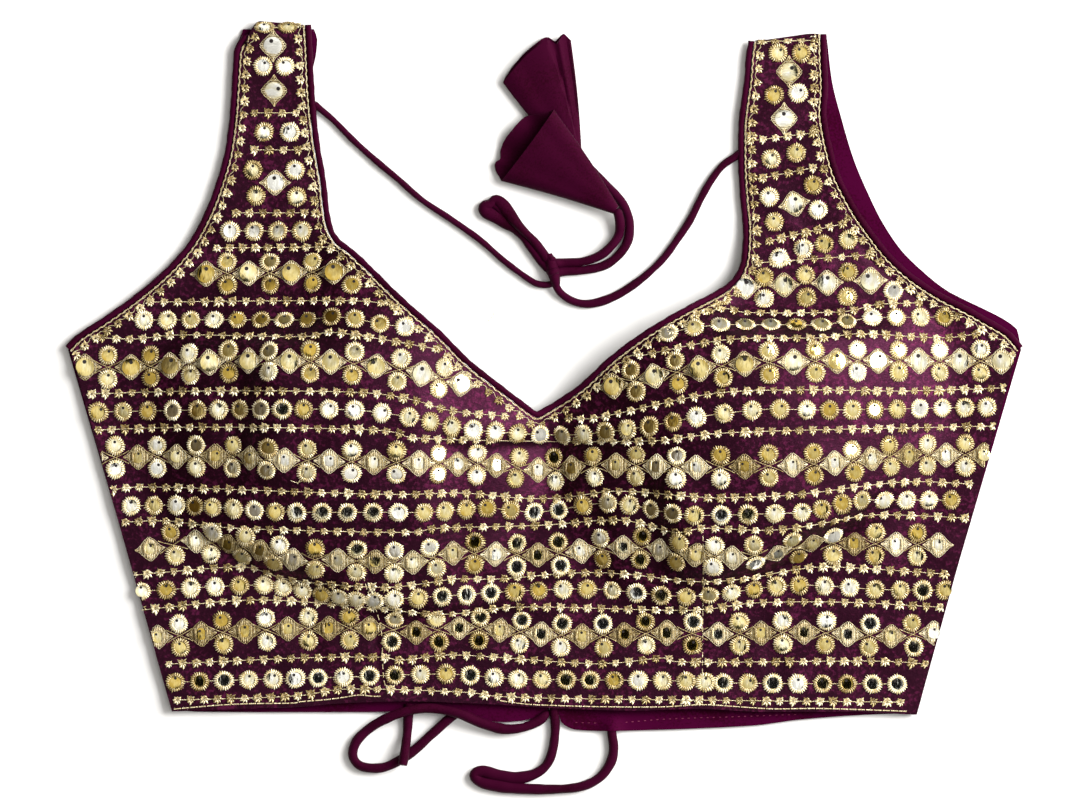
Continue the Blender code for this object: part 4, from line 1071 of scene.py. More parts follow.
# The hem's second layer: how thick, and between which distances from the edge it ends
HEM_ROLL, HEM_TURNED = 0.55, (7.5, 6.2)
# Ripple along the hem: its height, its wave, and how far up it reaches
HEM_RIPPLE, RIPPLE_WAVE, RIPPLE_REACH = 0.10, 4.3, 14.0
# The back lifts over the tie that goes in under it, up to a little above that tie's end
TIE_HUMP, HUMP_HALF_WIDTH, HUMP_TOP = 2.8, 4.5, (11.0, 2.0)


def make_back(name, hem, neck, armhole, left, node):
    """Plain back: flat where it lies, with a rolled double hem."""
    low = hem[0] if left else hem[-1]
    corner = (armhole[0][1], armhole[0][0])
    share = np.arange(BACK_COLUMNS + 1) / BACK_COLUMNS

    def outer(level):
        """Across position of the side seam or armhole at a level."""
        if level <= corner[1]:
            return low[0] + (corner[0] - low[0]) * (level - low[1]) / (corner[1] - low[1])
        return float(read_curve(armhole, 1, level))

    rows = []
    for step in HEM_ROWS:
        level = low[1] + (BACK_LEVEL - low[1]) * step
        x = outer(level) + (neck[0][1] - outer(level)) * share
        edge = read_curve(hem, 1, x)
        rows.append(np.stack([x, edge + (BACK_LEVEL - edge) * step], axis=1))
    top = min(armhole[-1][0], neck[-1][0])
    for level in np.concatenate([np.linspace(BACK_LEVEL, corner[1], LOW_BACK_ROWS),
                                 np.linspace(corner[1], top, HIGH_BACK_ROWS)[1:]]):
        inner = float(read_curve(neck, 1, level))
        rows.append(np.stack([outer(level) + (inner - outer(level)) * share,
                              np.full(BACK_COLUMNS + 1, level)], axis=1))
    plan = np.vstack(rows)
    edge = read_curve(hem, 1, plan[:, 0])
    from_hem = plan[:, 1] - edge
    roll = HEM_ROLL * ease(*HEM_TURNED, from_hem)
    roll += HEM_RIPPLE * np.sin(plan[:, 0] / RIPPLE_WAVE) * ease(RIPPLE_REACH, 0.0, from_hem)
    height = BACK_WALL - BACK_SINK + roll
    tie_x, tie_y = HEM_TIE[-2]
    away = np.exp(-((plan[:, 0] - tie_x) / HUMP_HALF_WIDTH) ** 2)
    height += TIE_HUMP * away * ease(*HUMP_TOP, plan[:, 1] - tie_y)
    width = BACK_COLUMNS + 1
    quads = []
    for row in range(len(rows) - 1):
        for k in range(BACK_COLUMNS):
            a = row * width + k
            quad = (a, a + 1, a + width + 1, a + width)
            quads.append(quad if left else quad[::-1])
    piece = mesh_piece(name, np.column_stack([plan, height]), quads)
    apply_modifier(piece, "SOLIDIFY", thickness=BACK_SHELL * MM, offset=-1.0)
    finish_piece(piece, CREPE, 45.0)
    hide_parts(node)
    return piece


back_left = make_back("plain_back_left", BACK_HEM_LEFT, BACK_NECK_LEFT, BACK_ARMHOLE_LEFT, True, "back_left")
back_right = make_back("plain_back_right", BACK_HEM_RIGHT, BACK_NECK_RIGHT, BACK_ARMHOLE_RIGHT, False,
                       "back_right")


# ------------------------------------------------------------------ mirror work
# Radius of the foil that shows in a ring or small diamond
MIRROR_WINDOW = 2.75
# How far above and below a row of diamonds its pairs of mirrors lie
PAIR_RISE = 5.7
# Spacing of star knots along a row
STAR_PITCH = 6.5
rng = np.random.default_rng(7)


def take_shape():
    """Points and faces of the active object, which is then removed."""
    bpy.ops.object.mode_set(mode="OBJECT")
    piece = bpy.context.object
    points = np.array([v.co for v in piece.data.vertices])
    faces = [tuple(p.vertices) for p in piece.data.polygons]
    bpy.data.objects.remove(piece, do_unlink=True)
    return points, faces


def start_circle(sides, radius, fill):
    """Circle in edit mode, all of it selected, ready to be shaped."""
    clear_selection()
    bpy.ops.mesh.primitive_circle_add(vertices=sides, radius=radius, fill_type=fill)
    bpy.ops.object.mode_set(mode="EDIT")
    bpy.ops.mesh.select_all(action="SELECT")


def grow_rim(share, rise):
    """Extrude the selected loop, then size and lift it."""
    bpy.ops.mesh.extrude_edges_move(TRANSFORM_OT_translate={"value": (0.0, 0.0, rise)})
    bpy.ops.transform.resize(value=(share, share, 1.0), center_override=(0.0, 0.0, 0.0))


def polar(points, count):
    """Radius of each point, and its number round the shape."""
    number = np.round(np.arctan2(points[:, 1], points[:, 0]) / (2.0 * math.pi) * count).astype(int)
    return np.hypot(points[:, 0], points[:, 1]), number % count


RING_SPIKES = 26
# Each loop of the ring: its size as a share of the one before, and its rise
RING_LOOPS = ((1.15, 0.42), (1.27, -0.04), (1.12, -0.44))
STAR_EYE, STAR_SIDES = 0.45, 16
STAR_LOOPS = ((3.1, 0.40), (1.62, -0.28))
MIRROR_LIFT = 0.42
# The disc's edge as a share of its window, and its dome: (in from the edge, rise)
DISC_SPREAD, DISC_DOME = 1.19, ((0.9, 0.065), (1.1, 0.03))
HOLE_RADIUS, HOLE_OFF_MIDDLE, HOLE_ABOVE = 0.76, 1.85, 0.14


def model_ring():
    """Buttonhole ring: stitches radiate over the mirror's rim and end in uneven spikes."""
    sides = 2 * RING_SPIKES
    start_circle(sides, MIRROR_WINDOW, "NOTHING")
    for share, rise in RING_LOOPS:
        grow_rim(share, rise)
    points, faces = take_shape()
    radius, number = polar(points, sides)
    ridge = number % 2 == 0
    reach = rng.uniform(0.92, 1.08, sides)[number]
    inner, outer = radius < MIRROR_WINDOW * 1.05, radius > MIRROR_WINDOW * 1.55
    scale = np.where(outer & ridge, 1.10 * reach, 1.0)
    scale = np.where(outer & ~ridge, 0.95, scale)
    scale = np.where(inner & ridge, 0.94 * reach, scale)
    points[:, :2] *= scale[:, None]
    points[:, 2] += np.where(ridge & ~inner, 0.16, -0.10) + MIRROR_LIFT
    return points, faces, points[:, :2] * MAP_SCALE


def model_mirror():
    """Foil disc with a low dome."""
    start_circle(20, MIRROR_WINDOW * DISC_SPREAD, "NGON")
    for thickness, rise in DISC_DOME:
        bpy.ops.mesh.inset(thickness=thickness, depth=0.0)
        bpy.ops.transform.translate(value=(0.0, 0.0, rise))
    bpy.ops.mesh.poke()
    points, faces = take_shape()
    points[:, 2] += MIRROR_LIFT
    return points, faces, points[:, :2] * MAP_SCALE


def model_hole():
    """Pierced hole, set off the middle of the disc."""
    start_circle(8, HOLE_RADIUS, "NGON")
    bpy.ops.mesh.inset(thickness=0.2, depth=0.0)
    bpy.ops.transform.translate(value=(0.0, 0.0, -0.02))
    points, faces = take_shape()
    points += np.array([0.0, HOLE_OFF_MIDDLE, MIRROR_LIFT + HOLE_ABOVE])
    return points, faces, points[:, :2] * MAP_SCALE


def model_strand():
    """One satin stitch: a strip from -0.5 to 0.5 across and -1 to 1 up, with a round back."""
    clear_selection()
    bpy.ops.mesh.primitive_grid_add(x_subdivisions=2, y_subdivisions=4, size=2.0)
    points, faces = take_shape()
    points[:, 0] = 0.5 * points[:, 0]
    bowed = (1.0 - np.abs(2.0 * points[:, 0])) * (1.0 - 0.75 * points[:, 1] ** 4)
    points[:, 0] *= 1.0 - 0.55 * np.abs(points[:, 1]) ** 3
    points[:, 2] = bowed
    return points, faces


# Stitches of a diamond's right side: (across, half length up), and of its top: (across, up to)
DIAMOND_SIDE = [(2.8, 4.5), (3.55, 3.6), (4.3, 2.7), (5.05, 1.9), (5.75, 1.2)]
DIAMOND_TOP = [(0.0, 6.4), (0.95, 5.6), (1.85, 5.1)]
# The point at each side: across from, to
DIAMOND_TIP = (5.6, 8.3)
# Stitches over the sides of the disc, which make its window upright: (across, half length up)
DIAMOND_COVERS = [(2.6, 3.8), (3.15, 3.3)]
COVER_RISE = 0.95
# Thread round each quarter of a frame: (across, up)
DIAMOND_OUTLINE = [(8.2, 0.1), (6.2, 1.2), (4.5, 2.9), (2.7, 4.9), (0.4, 6.6)]
# Radius of the foil that shows in a wide diamond
WIDE_WINDOW = 3.9
STRAND_WIDTH, STRAND_RISE = 0.62, 0.42


def model_diamond(window):
    """Frame of upright satin stitches round a mirror, drawn out to a point at each side."""
    strip, strip_faces = model_strand()
    shapes = []

    def clear(x):
        """Height at which a stitch starts, clear of the window."""
        return math.sqrt(max(window * window - x * x, 0.0)) - 0.2

    def stitch(x, low, high, width, rise):
        """Add one upright stitch from a low to a high end."""
        points = strip * np.array([width, 0.5 * (high - low), rise])
        points = points + np.array([x, 0.5 * (low + high), 0.32])
        shapes.append((points, strip_faces, points[:, :2] * MAP_SCALE))

    for x, half in DIAMOND_SIDE:
        rise, low = STRAND_RISE * (1.0 - 0.06 * x), clear(x)
        for way in (-1.0, 1.0):
            if low < 0.5:
                stitch(way * x, -half, half, STRAND_WIDTH, rise)
            elif low < half - 0.4:
                stitch(way * x, low, half, STRAND_WIDTH, rise)
                stitch(way * x, -half, -low, STRAND_WIDTH, rise)
    for x, half in DIAMOND_COVERS if window == MIRROR_WINDOW else ():
        for way in (-1.0, 1.0):
            stitch(way * x, -half, half, STRAND_WIDTH, STRAND_RISE)
            points = shapes[-1][0]
            points[:, 2] += COVER_RISE * (1.0 - (points[:, 1] / half) ** 4) - 0.1
    for x, high in DIAMOND_TOP:
        for side in {x, -x}:
            stitch(side, clear(x), high, 0.95, STRAND_RISE)
            stitch(side, -high, -clear(x), 0.95, STRAND_RISE)
    for way in (-1.0, 1.0):
        near, far = DIAMOND_TIP
        tip = strip[:, [1, 0, 2]] * np.array([0.5 * (far - near), 0.75, 0.3])
        tip = tip + np.array([0.5 * (near + far), 0.0, 0.25])
        flat = tip[:, :2] * np.array([way, 1.0])
        tip_faces = strip_faces if way < 0.0 else [face[::-1] for face in strip_faces]
        shapes.append((np.column_stack([flat, tip[:, 2]]), tip_faces, flat[:, ::-1] * MAP_SCALE))
    for across in (-1.0, 1.0):
        for up in (-1.0, 1.0):
            line = np.array([(across * x, up * y, 0.22) for x, y in DIAMOND_OUTLINE])
            line[:, 2] += 0.06 * np.cos(np.arange(len(line)) * math.pi)
            points, faces, uv = tube(line, 0.22, 4, caps=False)
            shapes.append((points, faces, uv))
    return join_shapes(shapes)


def model_star():
    """Eight loops of thread drawn to one hole, no two alike."""
    start_circle(STAR_SIDES, STAR_EYE, "NOTHING")
    for share, rise in STAR_LOOPS:
        grow_rim(share, rise)
    points, faces = take_shape()
    radius, number = polar(points, STAR_SIDES)
    ridge = number % 2 == 0
    reach = rng.uniform(0.72, 1.18, STAR_SIDES)[number]
    notch = rng.uniform(0.60, 0.84, STAR_SIDES)[number]
    points[:, :2] *= np.where(radius > 1.8, np.where(ridge, reach, notch), 1.0)[:, None]
    points[:, 2] += np.where(ridge, 0.2, -0.1) + 0.12
    # Eight ribs to the turn in the thread's stripes
    angle = np.arctan2(points[:, 1], points[:, 0])
    return points, faces, np.stack([angle * 8.0 / THREAD_STRIPES, radius * MAP_SCALE], axis=1)


# Length of strap that rolls back at its top, and the share of their height that motifs lose there
STRAP_ROLL, ROLL_LOSS = 6.0, 0.42


def strap_tops(x):
    """Level at which the straps' worked face ends."""
    return np.where(x < 0.0, STRAP_TOP_LEFT + 2.0, STRAP_TOP_RIGHT + 0.08 * (x - 115.0))


def roll_squash(x, y):
    """Share of their height that motifs show where the straps roll back at their tops."""
    top = strap_tops(x)
    return 1.0 - ROLL_LOSS * ease(top - STRAP_ROLL, top - 0.4 * STRAP_ROLL, y)


# Where discs lie level and show the dark ceiling: (across from, to, up from, to, share of them)
CALM_AREAS = [
    (-119.0, -80.0, -70.0, -58.0, 0.9), (-17.0, 20.0, -70.0, -58.0, 0.9),
    (72.0, 109.0, -72.0, -58.0, 0.8), (-90.0, 48.0, -96.0, -74.0, 0.75),
    (-76.0, 92.0, -112.0, -98.0, 0.4), (-76.0, 96.0, -132.0, -114.0, 0.75),
    (-178.0, 170.0, -152.0, -140.0, 0.4), (-156.0, -114.0, -20.0, -12.0, 0.35),
    (92.0, 190.0, -132.0, -98.0, 0.2), (-6.0, 60.0, -52.0, -26.0, 0.35),
    (90.0, 200.0, -60.0, -25.0, 0.15),
]
# They lie where the cloth slopes by less than this, keep this share of it, and slant by this at most
CALM_SLOPE, CALM_SHARE, CALM_SLANT = 0.3, 0.1, 0.02
# Share of the cloth's slope that a stiff disc takes, and how far round it that slope is read
DISC_SHARE = 0.6
STIFF_REACH = 2.5
# How far from its middle a disc's low side may sink into the stitches, and how deep
DISC_REACH, DISC_SINK = 2.9, 0.3
# Every other disc's own slant, and the least that it leans in all
SLANT_LEAST, SLANT_MOST = 0.11, 0.19
LEAN_CLEAR = 0.125
# Discs that lie level look smaller inside their rings
LEVEL_SIZE = 0.9
# Where the foil is painted paler, a painted reflection, and where a negative shift makes it more golden:
# (across from, to, up from, to, paler by)
FOIL_GLINT_AND_TONE_AREAS = [
    (-145.0, -110.0, 80.0, 175.0, 0.45), (-170.0, -100.0, 60.0, 80.0, 0.4),
    (100.0, 130.0, 100.0, 165.0, 0.15), (95.0, 160.0, 35.0, 95.0, 0.15),
    (-60.0, 0.0, -60.0, -15.0, 0.4), (-110.0, -60.0, -50.0, -30.0, 0.25), (150.0, 225.0, -60.0, 0.0, 0.25),
    (-220.0, -70.0, -10.0, 55.0, -0.3), (30.0, 150.0, -10.0, 30.0, -0.15),
    (-215.0, -150.0, -130.0, -60.0, -0.1),
]


def disc_slants(places):
    """Direction that each disc faces, and which lie level: most lean a little off the cloth."""
    x, y = places[:, 0], places[:, 1]
    share = np.zeros(len(x))
    for low_x, high_x, low_y, high_y, level in CALM_AREAS:
        inside = (x > low_x) & (x < high_x) & (y > low_y) & (y < high_y)
        share = np.where(inside, level, share)
    calm = (rng.random(len(x)) < share) & (cloth_normal(x, y)[:, 2] > math.cos(CALM_SLOPE))
    way = rng.uniform(0.0, 2.0 * math.pi, len(x))
    size = np.where(calm, rng.uniform(0.0, CALM_SLANT, len(x)),
                    rng.uniform(SLANT_LEAST, SLANT_MOST, len(x)))
    lean = np.stack([np.cos(way) * size, np.sin(way) * size, np.zeros(len(x))], axis=1)
    out = cloth_normal(x, y, STIFF_REACH)
    out[:, :2] *= np.where(calm, CALM_SHARE, DISC_SHARE)[:, None]
    out = out + lean
    # A leaning disc leans far enough to miss the dark ceiling
    across = np.linalg.norm(out[:, :2], axis=1)
    wider = np.where(calm, 1.0, np.maximum(LEAN_CLEAR / np.maximum(across, 0.01), 1.0))
    out[:, :2] *= wider[:, None]
    return out / np.linalg.norm(out, axis=1)[:, None], calm


def foil_tones_and_glints(places):
    """Tone of each disc: random, made more golden in some parts and painted nearly white in others, a
    painted reflection.
    """
    x, y = places[:, 0], places[:, 1]
    shift = np.zeros(len(x))
    for low_x, high_x, low_y, high_y, glint_and_gold_shift in FOIL_GLINT_AND_TONE_AREAS:
        shift += glint_and_gold_shift * ((x > low_x) & (x < high_x) & (y > low_y) & (y < high_y))
    return places[:, 4] + shift


def inside_front(x, y, margin):
    """Whether plan points lie on the front, clear of its side seams, hem and openings."""
    level = np.clip(y, HEM_CORNER_LEFT[1], None)
    right_of = x - side_edge(level, True)
    left_of = side_edge(level, False) - x
    between = (x > neck_edge(level, True) - margin) & (x < neck_edge(level, False) + margin)
    hollow = (y > V_POINT[1]) & between
    across_strap = (y < strap_tops(x) - 0.4) & (y > read_curve(FRONT_HEM, 1, x) + margin)
    return (right_of > margin) & (left_of > margin) & ~hollow & across_strap


def stamp(name, shapes, places, material, slants=None, draped=False, margin=None):
    """One joined mesh of copies of small shapes set on the cloth, the shapes taken in turn.

    places has columns across, up, turn, size and tone. A margin cuts what crosses the front's edges.
    """
    places = np.asarray(places, float)
    at_x, at_y = seat(places[:, 0], places[:, 1])
    cloth = cloth_normal(places[:, 0], places[:, 1], STIFF_REACH)
    out = cloth if draped else slants
    # A slanted disc is lifted so that its low side stays out of the cloth
    lift = np.maximum(np.linalg.norm(out - cloth, axis=1) * DISC_REACH * places[:, 3] - DISC_SINK, 0.0)
    middle = np.column_stack([at_x, at_y, np.zeros(len(at_x))]) if draped else on_cloth(at_x, at_y)
    middle[:, 2] += 0.0 if draped else lift
    squash = roll_squash(places[:, 0], places[:, 1])
    ahead = np.stack([np.cos(places[:, 2]), np.sin(places[:, 2]), np.zeros(len(places))], axis=1)
    ahead = ahead - out * (ahead * out).sum(axis=1)[:, None]
    ahead = ahead / np.linalg.norm(ahead, axis=1)[:, None]
    up = np.cross(out, ahead)
    all_points, all_faces, all_uv, all_tones, start = [], [], [], [], 0
    for number, (base, faces, uv) in enumerate(shapes):
        mine = np.arange(number, len(places), len(shapes))
        local = base[None, :, :] * places[mine, 3][:, None, None]
        points = ahead[mine][:, None, :] * local[..., :1] + up[mine][:, None, :] * local[..., 1:2]
        points[..., 1] *= squash[mine][:, None]
        points = points + middle[mine][:, None, :]
        if draped:
            raised = local[..., 2].reshape(-1)
            flat = points.reshape(-1, 3)
            points = on_cloth(flat[:, 0], flat[:, 1])
            points = points + cloth_normal(flat[:, 0], flat[:, 1]) * raised[:, None]
        else:
            points = (points + out[mine][:, None, :] * local[..., 2:3]).reshape(-1, 3)
        count = len(base)
        kept = np.ones(len(points), bool)
        if margin is not None:
            kept = inside_front(points[:, 0], points[:, 1], margin)
        for n in range(len(mine)):
            shift = n * count
            for face in faces:
                if kept[[k + shift for k in face]].all():
                    all_faces.append(tuple(k + shift + start for k in face))
        all_points.append(points)
        all_uv.append(np.tile(uv, (len(mine), 1)))
        all_tones.append(np.repeat(places[mine, 4], count))
        start += len(points)
    points, used = np.vstack(all_points), np.zeros(start, bool)
    used[[k for face in all_faces for k in face]] = True
    number = np.cumsum(used) - 1
    faces = [tuple(int(number[k]) for k in face) for face in all_faces]
    piece = mesh_piece(name, points[used], faces, uv=np.vstack(all_uv)[used],
                       tone=np.concatenate(all_tones)[used])
    finish_piece(piece, material, 40.0)


# Rows of motifs, each course as (count, across, up): motifs are spaced evenly between stops
SINGLE_ROWS = {
    "strap_left_high": [(0, -134.9, 148.3), (1, -124.3, 148.3)],
    "strap_left_mid": [(0, -134.4, 116.6), (1, -121.9, 116.6)],
    "strap_left_base": [(0, -150.7, 69.1), (3, -116.2, 69.1)],
    "upper_left": [(0, -192.0, 26.4), (7, -113.3, 26.4), (8, -101.8, 27.8), (9, -90.7, 26.9),
                   (10, -78.7, 24.5), (11, -66.7, 23.0)],
    "upper_right": [(0, 59.5, 20.2), (2, 84.5, 24.0), (6, 133.0, 24.0), (8, 157.4, 27.4),
                    (11, 192.0, 27.8)],
    "bust": [(0, -214.1, -17.8), (4, -166.1, -16.8), (9, -115.2, -16.3), (11, -90.7, -16.8),
             (13, -64.8, -20.2), (16, -34.1, -26.4), (20, 8.6, -28.8), (24, 50.4, -24.5),
             (26, 73.0, -20.2), (29, 112.8, -16.3), (30, 125.8, -16.8), (38, 212.6, -15.4)],
    "under_bust": [(0, -198.2, -62.9), (2, -176.2, -62.4), (4, -158.9, -63.4), (8, -118.6, -65.8),
                   (13, -57.6, -65.8), (16, -27.4, -63.8), (18, -4.8, -65.8), (21, 30.7, -61.4),
                   (25, 72.0, -67.2), (29, 123.4, -65.8), (32, 152.2, -60.0), (36, 195.4, -60.0)],
    "waist": [(0, -193.0, -103.7), (5, -134.4, -100.8), (8, -106.6, -105.1), (11, -81.6, -108.0),
              (12, -72.0, -107.5), (20, 20.6, -102.7), (24, 68.2, -106.1), (29, 122.4, -100.8),
              (33, 170.9, -103.2), (35, 192.5, -103.2)],
    "hem": [(0, -177.1, -147.4), (4, -130.1, -145.9), (6, -108.5, -145.4), (11, -47.0, -143.5),
            (14, -12.5, -145.9), (21, 68.2, -146.9), (23, 85.9, -147.8), (30, 169.4, -148.3)],
}
DIAMOND_ROWS = {
    "strap_left": [(0, -162.2, 48.5), (3, -100.8, 49.4)],
    "strap_right": [(0, 96.5, 42.2), (1, 115.2, 43.2), (3, 156.5, 45.1)],
    "upper_left": [(0, -220.3, 3.8), (1, -198.2, 3.8), (4, -141.6, 6.7), (6, -102.2, 6.2),
                   (8, -58.6, 0.5), (9, -39.8, -4.3)],
    "upper_right": [(0, 33.1, -5.3), (1, 52.8, -0.5), (3, 96.0, 5.3), (4, 119.5, 6.2),
                    (5, 140.2, 6.7), (9, 219.4, 6.7)],
    "bust": [(0, -216.5, -39.8), (1, -194.9, -39.4), (3, -157.4, -38.9), (5, -124.3, -40.8),
             (8, -60.0, -42.2), (10, -23.0, -43.2), (11, -2.9, -45.6), (12, 13.4, -44.6),
             (13, 34.6, -43.2), (15, 73.0, -44.2), (17, 119.0, -43.2), (18, 139.2, -42.2),
             (20, 174.7, -38.4), (22, 211.2, -38.4)],
    "midriff": [(0, -189.1, -83.5), (1, -167.0, -79.7), (3, -136.3, -84.0), (4, -120.5, -88.3),
                (5, -98.9, -88.8), (7, -62.9, -89.8), (8, -43.7, -85.4), (10, -2.9, -86.4),
                (12, 37.9, -82.6), (15, 90.2, -87.4), (16, 111.8, -85.4), (17, 128.6, -80.6),
                (20, 189.1, -81.6)],
    "hem": [(0, -185.3, -125.8), (3, -122.9, -121.9), (5, -83.5, -121.4), (6, -61.4, -123.4),
            (7, -40.8, -121.4), (10, 18.2, -125.3), (12, 59.0, -123.8), (13, 83.5, -124.3),
            (15, 124.8, -123.4), (17, 166.6, -125.3), (18, 187.2, -123.8)],
}
WIDE_ROWS = ("strap_left", "strap_right", "upper_left", "upper_right")
# This row's mirrors don't sit in pairs, so each has its own place below
UNPAIRED_ROW = "strap_right"
# Motifs on a slope lie closer together in plan: how far round them the slope is read, and the
# least share of their distance that they keep
SLOPE_REACH, STEEPEST = 3.0, 0.55
# Mirrors set round a diamond on the straps: (across, up)
STRAP_MIRRORS = [
    (-134.2, 167.0), (-123.0, 167.0), (-139.7, 98.4), (-119.5, 98.4), (-138.2, 85.9), (-118.6, 85.4),
    (112.3, 154.6), (123.4, 154.6), (110.4, 134.4), (121.9, 135.4), (109.0, 103.7), (121.0, 106.6),
    (108.0, 85.4), (129.1, 91.2), (110.4, 73.4), (131.5, 79.2), (112.8, 56.2), (124.3, 60.5),
    (134.4, 62.9), (145.9, 64.8),
    (105.6, 47.0), (125.3, 48.0), (145.9, 49.4), (85.0, 37.4), (105.6, 36.5), (125.8, 37.0),
    (145.4, 37.4), (167.5, 40.3), (-92.0, 43.2),
]
# Diamonds on the straps: (across, up, turn in degrees)
STRAP_DIAMONDS = [
    (-130.1, 158.0, 90.0), (-129.6, 136.4, 90.0), (-129.1, 92.2, 0.0), (117.6, 145.4, 90.0),
    (115.2, 123.0, 90.0), (120.0, 82.1, 12.0),
]
STAR_ROWS = {
    "strap_right_top": [(104, 160.0), (130, 160.6)],
    "strap_left_1": [(-139, 125.8), (-119, 125.8)],
    "strap_left_2": [(-139, 108.0), (-118, 108.0)],
    "strap_left_3": [(-148, 77.8), (-115, 77.8)],
    "strap_left_4": [(-157, 61.0), (-102, 61.4)],
    "strap_right_1": [(99, 112.3), (129, 116.2)],
    "strap_right_2": [(105, 94.6), (129, 99.4)],
    "strap_right_3": [(108, 64.3), (143, 72.5)],
    "strap_right_4": [(103, 53.8), (156, 57.6)],
    "top_left": [(-189, 35.0), (-93, 35.5), (-72, 32.6)],
    "top_right": [(73, 29.3), (87, 31.7), (99, 29.8), (142, 30.2), (159, 33.6), (180, 34.6)],
    "upper_left": [(-212, 17.8), (-195, 17.3), (-174, 19.2), (-117, 18.2), (-99, 20.2), (-52, 12.5)],
    "upper_right": [(46, 9.1), (87, 16.8), (132, 17.8), (152, 19.7), (190, 17.8), (207, 19.7)],
    "bust_left": [(-217, -9.1), (-165, -7.7), (-93, -8.2), (-65, -11.5), (-44, -17.3), (-19, -19.7)],
    "bust_right": [(12, -20.6), (27, -20.2), (80, -9.1), (123, -7.2), (171, -7.7), (221, -6.2)],
    "bust_lower": [(-214, -26.4), (-165, -25.0), (-93, -25.9), (-72, -27.4), (-53, -30.7), (46, -31.7),
                   (94, -27.4), (216, -24.5)],
    "under_1": [(-207, -55.2), (-185, -53.8), (-79, -57.1), (-40, -56.6), (-12, -59.0), (8, -59.0),
                (36, -55.7), (75, -58.6), (94, -58.6), (123, -57.1), (171, -51.4), (204, -52.3)],
    "under_2": [(-201, -70.6), (-180, -70.1), (-148, -73.4), (-69, -75.4), (-50, -73.4), (0, -72.0),
                (29, -69.6), (44, -70.6), (63, -75.4), (77, -73.4), (104, -74.4), (123, -73.0),
                (152, -67.7), (171, -67.2), (202, -68.6)],
    "waist_1": [(-197, -96.0), (-157, -92.6), (-140, -92.6), (-120, -98.4), (-76, -101.8),
                (-43, -97.9), (-23, -97.9), (15, -95.0), (39, -95.5), (70, -98.9), (94, -97.9),
                (123, -93.1), (142, -92.2), (192, -95.5)],
    "waist_2": [(-193, -112.8), (-141, -108.0), (-96, -110.4), (-50, -114.7), (-21, -111.8),
                (3, -111.4), (70, -112.8), (101, -109.4), (142, -109.0), (190, -111.4)],
    "hem_1": [(-180, -138.7), (-117, -135.8), (-80, -135.4), (-67, -136.8), (-42, -134.4),
              (15, -138.2), (34, -138.2), (58, -135.8), (70, -137.8), (156, -137.3), (183, -138.7)],
    "hem_2": [(-176, -156.0), (-120, -154.1), (-94, -150.7), (-39, -152.2), (-2, -155.0), (171, -157.0)],
}


def course(stops, counts):
    """Across, up and turn at counts along a row's stops."""
    table = np.asarray(stops, float)
    line = table[:, 1:]
    x = np.interp(counts, table[:, 0], table[:, 1])
    reach = 4.0
    climb = read_curve(line, 1, x + reach) - read_curve(line, 1, x - reach)
    return x, read_curve(line, 1, x), np.arctan2(climb, 2.0 * reach)


def all_counts(stops):
    """Every motif's number on a row, from its first stop to its last."""
    return np.arange(int(stops[0][0]), int(stops[-1][0]) + 1)


def plan_share(x, y):
    """Share of a distance up the cloth that shows in plan."""
    return np.maximum(cloth_normal(x, y, SLOPE_REACH)[..., 2], STEEPEST)


def as_places(x, y, turn, spread=0.02):
    """Places as stamp reads them, each with its own tone and a size near 1."""
    tone = rng.random(len(x))
    sizes = 1.0 + rng.normal(0.0, spread, len(x))
    return np.stack([x, y, turn, sizes, tone], axis=1)


def even_stars(line, pitch):
    """Stars at an even pitch along a polyline laid on the cloth."""
    line = np.asarray(line, float)
    fine = smooth_path(line, 1.0) if len(line) > 2 else np.linspace(line[0], line[-1], 80)
    lifted = np.column_stack([fine, worked_height(fine[:, 0], fine[:, 1])])
    walk = walk_along(lifted)
    marks = np.linspace(0.0, walk[-1], max(int(round(walk[-1] / pitch)), 1) + 1)
    x, y = np.interp(marks, walk, fine[:, 0]), np.interp(marks, walk, fine[:, 1])
    ahead = np.gradient(np.stack([x, y], axis=1), axis=0)
    return x, y, np.arctan2(ahead[:, 1], ahead[:, 0])


THREAD_SIDES = 5


def thread_line(line, above, radius, step, sway=0.0, wave=1.0):
    """Thin round thread couched along a plan line, swaying to each side of it."""
    fine = smooth_path(line, step)
    if sway:
        walk = step * np.arange(len(fine))
        fine = move_sideways(fine, sway * np.sin(2.0 * math.pi * walk / wave + np.sin(walk / 17.0)))
    route = on_cloth(*seat(fine[:, 0], fine[:, 1]), above)
    return tube(route, radius * (1.0 + 0.12 * np.sin(np.arange(len(route)) * 2.1)), THREAD_SIDES)


# Dart seams and loose thread ends: (across, up) along each
DARTS = [
    [(-86.6, -96.3), (-84.6, -103.5), (-80.5, -113.0), (-77.9, -124.5), (-77.2, -144.0), (-74.8, -153.4)],
    [(76.0, -73.0), (76.4, -95.0), (76.2, -118.0), (76.0, -138.0), (76.0, -151.0)],
]
HEM_LINES = [
    [(-177.6, -160.3), (-164.4, -159.1), (-152.5, -158.2), (-139.7, -157.7), (-121.4, -157.5),
     (-115.9, -156.7), (-104.7, -155.8), (-96.8, -154.8), (-88.8, -153.6), (-81.6, -154.2),
     (-75.3, -153.9)],
    [(-21.1, -156.3), (-8.0, -158.0), (5.2, -158.6), (18.4, -159.0), (38.1, -159.3), (57.8, -159.2),
     (76.3, -158.2), (94.7, -159.3), (110.5, -160.2), (130.2, -160.0), (150.0, -160.5), (177.0, -161.5)],
]
LONE_THREADS = [[(-138.0, 165.6), (-128.0, 166.8), (-118.0, 166.8)]]
LOOSE_ENDS = [
    [(-118.0, -52.0), (-116.0, -48.5), (-114.5, -44.0), (-112.5, -41.0)],
    [(-121.0, -50.5), (-118.0, -51.5), (-115.0, -50.0), (-112.0, -51.0)],
    [(-110.0, -49.0), (-111.5, -45.5), (-113.5, -43.5)],
    [(-24.0, 30.0), (-25.5, 27.0), (-28.0, 25.5)],
]
